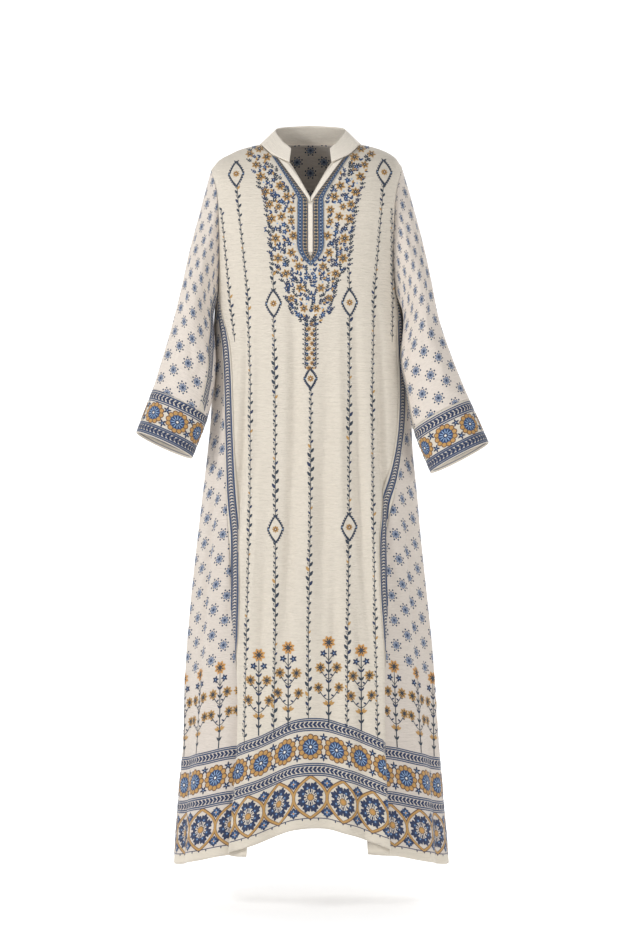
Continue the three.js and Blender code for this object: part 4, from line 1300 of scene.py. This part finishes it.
def yoke(sew):
    """Flowers at their places, small sprays between them, leaves along the edge, and a tail."""
    dice = random.Random(11)
    taken = yoke_flowers(sew, dice)
    for z in np.arange(4, -358, -YOKE_GRID):
        for x in np.arange(-123, 124, YOKE_GRID):
            px = x + dice.uniform(-YOKE_STRAY, YOKE_STRAY)
            pz = z + dice.uniform(-YOKE_STRAY, YOKE_STRAY)
            if yoke_room(px, pz, taken):
                yoke_spray(sew, dice, px, pz)
    for side in (-1, 1):
        for z in np.arange(-70, -340, -8.0):
            x = side * (float(YOKE.read("half", z)) - dice.uniform(0, 5))
            lean = 90 - side * dice.uniform(0, 50)
            spray(sew, x, z - 4, lean, 8, dice.choice(("ink", "navy")), side * -30)
    for k, z in enumerate(YOKE_TAIL):
        flower(sew, 3 * (-1) ** k, z - 4, 5.4, petals=6, turn=30 * k)
        for side in (-1, 1):
            spray(sew, side * 4, z, 90 - side * 46, 9, "ink", side * -30)
            sew.leaf(("blue", "gold")[k % 2], side * 3, z - 5, 90 - side * 78, 9, 3.4)
            sew.leaf("navy", side * 9, z - 6, 90 - side * 20, 7, 2.8)
            sew.bead("white", side * 11, z + 1, 1)
    diamond(sew, 0, -462, 11, 18)


# Vines of the front, from the top down: size, points (height, distance from the middle), lozenges.
VINES = [
    (0.85, [(-58, -146), (-120, -141), (-300, -122), (-480, -117), (-700, -118), (-960, -124),
            (-1172, -128)], [-58]),
    (1.05, [(-248, -73), (-316, -72), (-480, -69), (-755, -68), (-960, -68), (-1150, -71)],
     [-316, -755]),
    (1.05, [(-482, 1), (-700, 0), (-960, -4), (-1122, -4)], []),
    (1.05, [(-246, 75), (-314, 76), (-480, 76), (-751, 75), (-960, 72), (-1146, 70)],
     [-314, -751]),
    (0.8, [(-54, 145), (-120, 140), (-300, 124), (-480, 121), (-700, 122), (-960, 126),
           (-1166, 130)], [-54]),
    (0.8, [(-125, -175), (-200, -168), (-300, -158), (-390, -148)], []),
    (0.7, [(-125, 160), (-200, 160), (-300, 162), (-390, 160)], []),
]
# The front's plants: distance from the middle and height of the foot.
PLANTS = ((-100, -1152), (-43, -1137), (35, -1127), (98, -1143))


def front_work(sew):
    """Yoke, plants, vines and lozenges of the front."""
    yoke(sew)
    for x, z in PLANTS:
        plant(sew, x, z)
    for k, (size, rows, lozenges) in enumerate(VINES):
        heights, sides = zip(*rows)
        down = [-h for h in heights]
        z = np.arange(heights[0], heights[-1], -6.0)
        vine(sew, np.stack([np.interp(-z, down, sides), z], axis=1), size, k, lozenges)
        for height in lozenges:
            diamond(sew, float(np.interp(-height, down, sides)), height)


# ---- the bands
BRAID_WIDE = 20


def braid_work(sew, length):
    """Navy dots on the outer stripe and dark square beads on the gold one."""
    for along in np.arange(3, length - 2, 6.6):
        sew.disc("navy", 14.6, along, 1.9, height=0.7, corners=8)
        sew.bead("white", 14.6, along + 3.3, 0.9, height=0.8)
        sew.bead("sky", 17.8, along + 1.4, 0.8, height=0.7)
        sew.disc("ink", 5, along, 4.0, height=0.9, corners=4)
        sew.bead("white", 5, along + 3.3, 0.8, height=0.9)
    for across, thread in ((0.6, "slate"), (9.6, "navy"), (19.4, "slate")):
        path = [(across, t) for t in np.arange(0, length, STRIPE_STEP)]
        sew.line(thread, path, 0.9, height=0.5, low=0.2)


def band_work(sew, length, half, wide):
    """A row of paired leaves between two pairs of stripes."""
    along = np.arange(0, length, 5.0)
    for side in (-1, 1):
        edges = ((half - wide / 2 - 0.4, wide, "slate"), (half - wide - 1.3, 0.8, "navy"))
        for off, width, thread in edges:
            sew.line(thread, [(side * off, t) for t in along], width, height=0.4, low=0.2)
    for k, t in enumerate(np.arange(4, length - 3, 6.0)):
        for lean in (-44, 44):
            sew.leaf("navy" if k % 2 else "slate", 0, t, 90 + lean, half * 0.62, 3.2)
        sew.bead("white", 0, t - 1.6, 0.8, height=0.9)


# ---- the garment
def spaced(stops, steps):
    parts = [np.linspace(a, b, n, endpoint=False) for a, b, n in zip(stops, stops[1:], steps)]
    return np.concatenate(parts + [[stops[-1]]])


def flat_chart(cloth):
    """The chart of a border: across the cloth and up from its end."""
    return Chart(cloth, cloth.s, cloth.from_end)


def panels():
    """Front, back and sides, with their embroidery and borders."""
    rows = spaced([0, 1, 2, 3], [26, 26, 180])
    front = Cloth(front_point, spaced([-2, -1, 1, 2], [22, 110, 22]), rows, turn=-1)
    cream = crepe("cream_crepe", CREAM, facing=FACING_TOP * MM, slub=1.4)
    cloth_object(front, "front_panel", cream, level=True)
    under = front_column(front.u, front.points[..., 2])[1]
    view = Chart(front, front.points[..., 0], front.points[..., 2], keep=under < 0.3)
    embroider(view, "front_embroidery", "cream_crepe", front_work)
    embroider(flat_chart(front), "front_border", "cream_crepe", hem_border, -FRONT_HALF, FRONT_HALF)

    back = Cloth(back_point, np.linspace(-1, 1, 111), rows, turn=1)
    printed = crepe("printed_crepe", GREIGE, print_start=PRINT_START, facing=FACING_TOP * MM)
    cloth_object(back, "back_panel", printed, level=True)
    embroider(flat_chart(back), "back_border", "printed_crepe", hem_border, -BACK_HALF, BACK_HALF,
              plants=[k * PLANT_STEP for k in range(-2, 3)])
    for side, name in SIDES:
        across, down = np.linspace(0, 1, 71), np.linspace(0, 1, 181)
        panel = Cloth(partial(side_point, side), across, down, -side)
        cloth_object(panel, "side_panel_" + name, printed, level=True)
        half = panel.width[-1] / 2
        embroider(flat_chart(panel), "side_border_" + name, "printed_crepe", hem_border, -half, half,
                  phase=SIDE_PHASE, plants=np.arange(-half + 24, half - 20, PLANT_STEP))


def sleeves():
    """Sleeves, cuffs and the bands along the under-sleeve and front seams."""
    # painted light: the sleeves' ground is the back's and sides' printed crepe made 10% lighter, to lift
    # the shade that falls on them
    printed = crepe("printed_sleeve", darker(GREIGE, 1.1), print_start=-1)
    cuffed = crepe("cuff_crepe", CREAM, lines=CUFF_LINES)
    banded = crepe("band_crepe", darker(CREAM, 0.94))
    end = CUFF_STATION - CUFF_GAP
    turns, rows = np.linspace(-0.5, 0.5, 97), np.linspace(CUFF_STATION + CUFF_GAP, WRIST_STATION, 18)
    for side, name in SIDES:
        surface = partial(sleeve_point, side)
        sleeve = Cloth(surface, turns, np.linspace(0, end, 130), side, ring=True)
        cloth_object(sleeve, "sleeve_" + name, printed)
        cuff = Cloth(surface, turns, rows, side, ring=True)
        cloth_object(cuff, "cuff_" + name, cuffed, thick=DOUBLED)
        around = float(cuff.width.mean())
        wrap = Cloth(surface, np.linspace(-0.6, 0.6, 117), rows, side)
        chart = Chart(wrap, wrap.u * around, wrap.from_end)
        embroider(chart, "cuff_border_" + name, "border", cuff_border, around)

        across = np.linspace(*SLEEVE_BAND[side], 7) / SLEEVE_COLUMNS
        band = Cloth(surface, across, np.linspace(SLEEVE_BAND_TOP, end, 100), side, lay=TRIM_TOP)
        seam = Cloth(partial(seam_point, side), np.linspace(0, 1, 9),
                     np.linspace(*SEAM_BAND_ROWS, 160), -side, lay=TRIM_TOP)
        for kind, cloth, half, stripe in (
            ("sleeve_band", band, float(band.width.mean()) / 2, 2.8),
            ("seam_band", seam, SEAM_BAND / 2, 3.4),
        ):
            cloth_object(cloth, kind + "_" + name, banded, thick=TRIM)
            embroider(Chart(cloth, cloth.s, cloth.t), kind + "_work_" + name, "blue_band",
                      band_work, float(cloth.t[-1].min()), half, stripe)


def neck():
    """Facings, braids, collar and slit strip."""
    plain, woven = crepe("plain_crepe", PLAIN), braid_material()
    for side, name in SIDES:
        for kind, table, material in (("facing", FACING, plain), ("braid", BRAID, woven)):
            across, rows = np.linspace(0, 1, 9), np.linspace(0, table.key[-1], 90)
            strip = Cloth(partial(strip_point, table, side), across, rows, -side, lay=TRIM_TOP)
            cloth_object(strip, "neck_" + kind + "_" + name, material, thick=TRIM)
        along = strip.t.mean(axis=1)[:, None] + 0 * strip.u
        chart = Chart(strip, strip.u * BRAID_WIDE, along)
        embroider(chart, "braid_work_" + name, "blue_band", braid_work, float(strip.t[-1].mean()))
    collar = Cloth(collar_point, np.linspace(-1, 1, 121), np.linspace(0, 1, 12), 1)
    cloth_object(collar, "collar", plain, thick=DOUBLED)
    slit = Cloth(lambda u, v: (u, surface_y(u, -v, -1), -v), np.linspace(-SLIT_HALF, SLIT_HALF, 5),
                 np.linspace(-SLIT_TOP_Z, -SLIT_BOTTOM_Z, 30), -1, lay=TRIM_TOP)
    cloth_object(slit, "slit_strip", plain, thick=TRIM)


# ---- light, floor and camera
def plane(name, centre, across, up, material):
    c, a, b = (np.array(v, float) for v in (centre, across, up))
    obj = new_object(name, [c - a - b, c + a - b, c + a + b, c - a + b], [(0, 1, 2, 3)])
    obj.data.materials.append(material)


def plain_material(name, colour, glow):
    return new_material(name, {
        "Base Color": (*colour, 1), "Roughness": 0.9, "Emission Color": (1, 1, 1, 1),
        "Emission Strength": glow,
    })[0]


# The camera, in metres: the focal length in pixels of a picture as tall as the photo.
SENSOR, FOCAL_PIXELS, PICTURE_PIXELS = 24, 2150, 931
CAMERA_AT = (0, -4.3, -0.631)
LIGHTS_AIM = (0, 0, -0.7)
FLOOR_Z = -1.5
LIGHTS = (  # name, place, size and power
    ("key", (-3.2, -2.2, 1.0), 0.9, 88), ("fill", (3.0, -2.6, 0.2), 1.6, 38),
    ("back", (1.2, 3.6, 1.4), 2.0, 70),
)


def area_light(name, place, size, power):
    data = bpy.data.lights.new(name, "AREA")
    data.size, data.energy = size, power
    lamp = bpy.data.objects.new(name, data)
    lamp.location = place
    aim = Vector(LIGHTS_AIM) - Vector(place)
    lamp.rotation_euler = aim.to_track_quat("-Z", "Y").to_euler()
    bpy.context.scene.collection.objects.link(lamp)


def studio():
    """The photo's camera, floor, backdrop and lights."""
    camera = bpy.data.objects.new("Camera", bpy.data.cameras.new("Camera"))
    camera.data.sensor_fit = "VERTICAL"
    camera.data.sensor_height = SENSOR
    camera.data.lens = SENSOR * FOCAL_PIXELS / PICTURE_PIXELS
    camera.location = CAMERA_AT
    camera.rotation_euler = (math.pi / 2, 0, 0)
    bpy.context.scene.collection.objects.link(camera)
    bpy.context.scene.camera = camera
    white, grey = plain_material("floor", (0.9,) * 3, 0.4), plain_material("backdrop", (0.6,) * 3, 0.7)
    plane("floor", (0, 0, FLOOR_Z), (9, 0, 0), (0, 9, 0), white)
    plane("backdrop", (0, 7, 3), (9, 0, 0), (0, 0, 5), grey)
    for light in LIGHTS:
        area_light(*light)
    world = bpy.data.worlds.new("World")
    world.use_nodes = True
    sky = world.node_tree.nodes["Background"]
    sky.inputs["Color"].default_value = (0.98, 0.99, 1, 1)
    sky.inputs["Strength"].default_value = 0.42
    bpy.context.scene.world = world
    bpy.context.scene.view_settings.view_transform = "Standard"


panels()
sleeves()
neck()
studio()
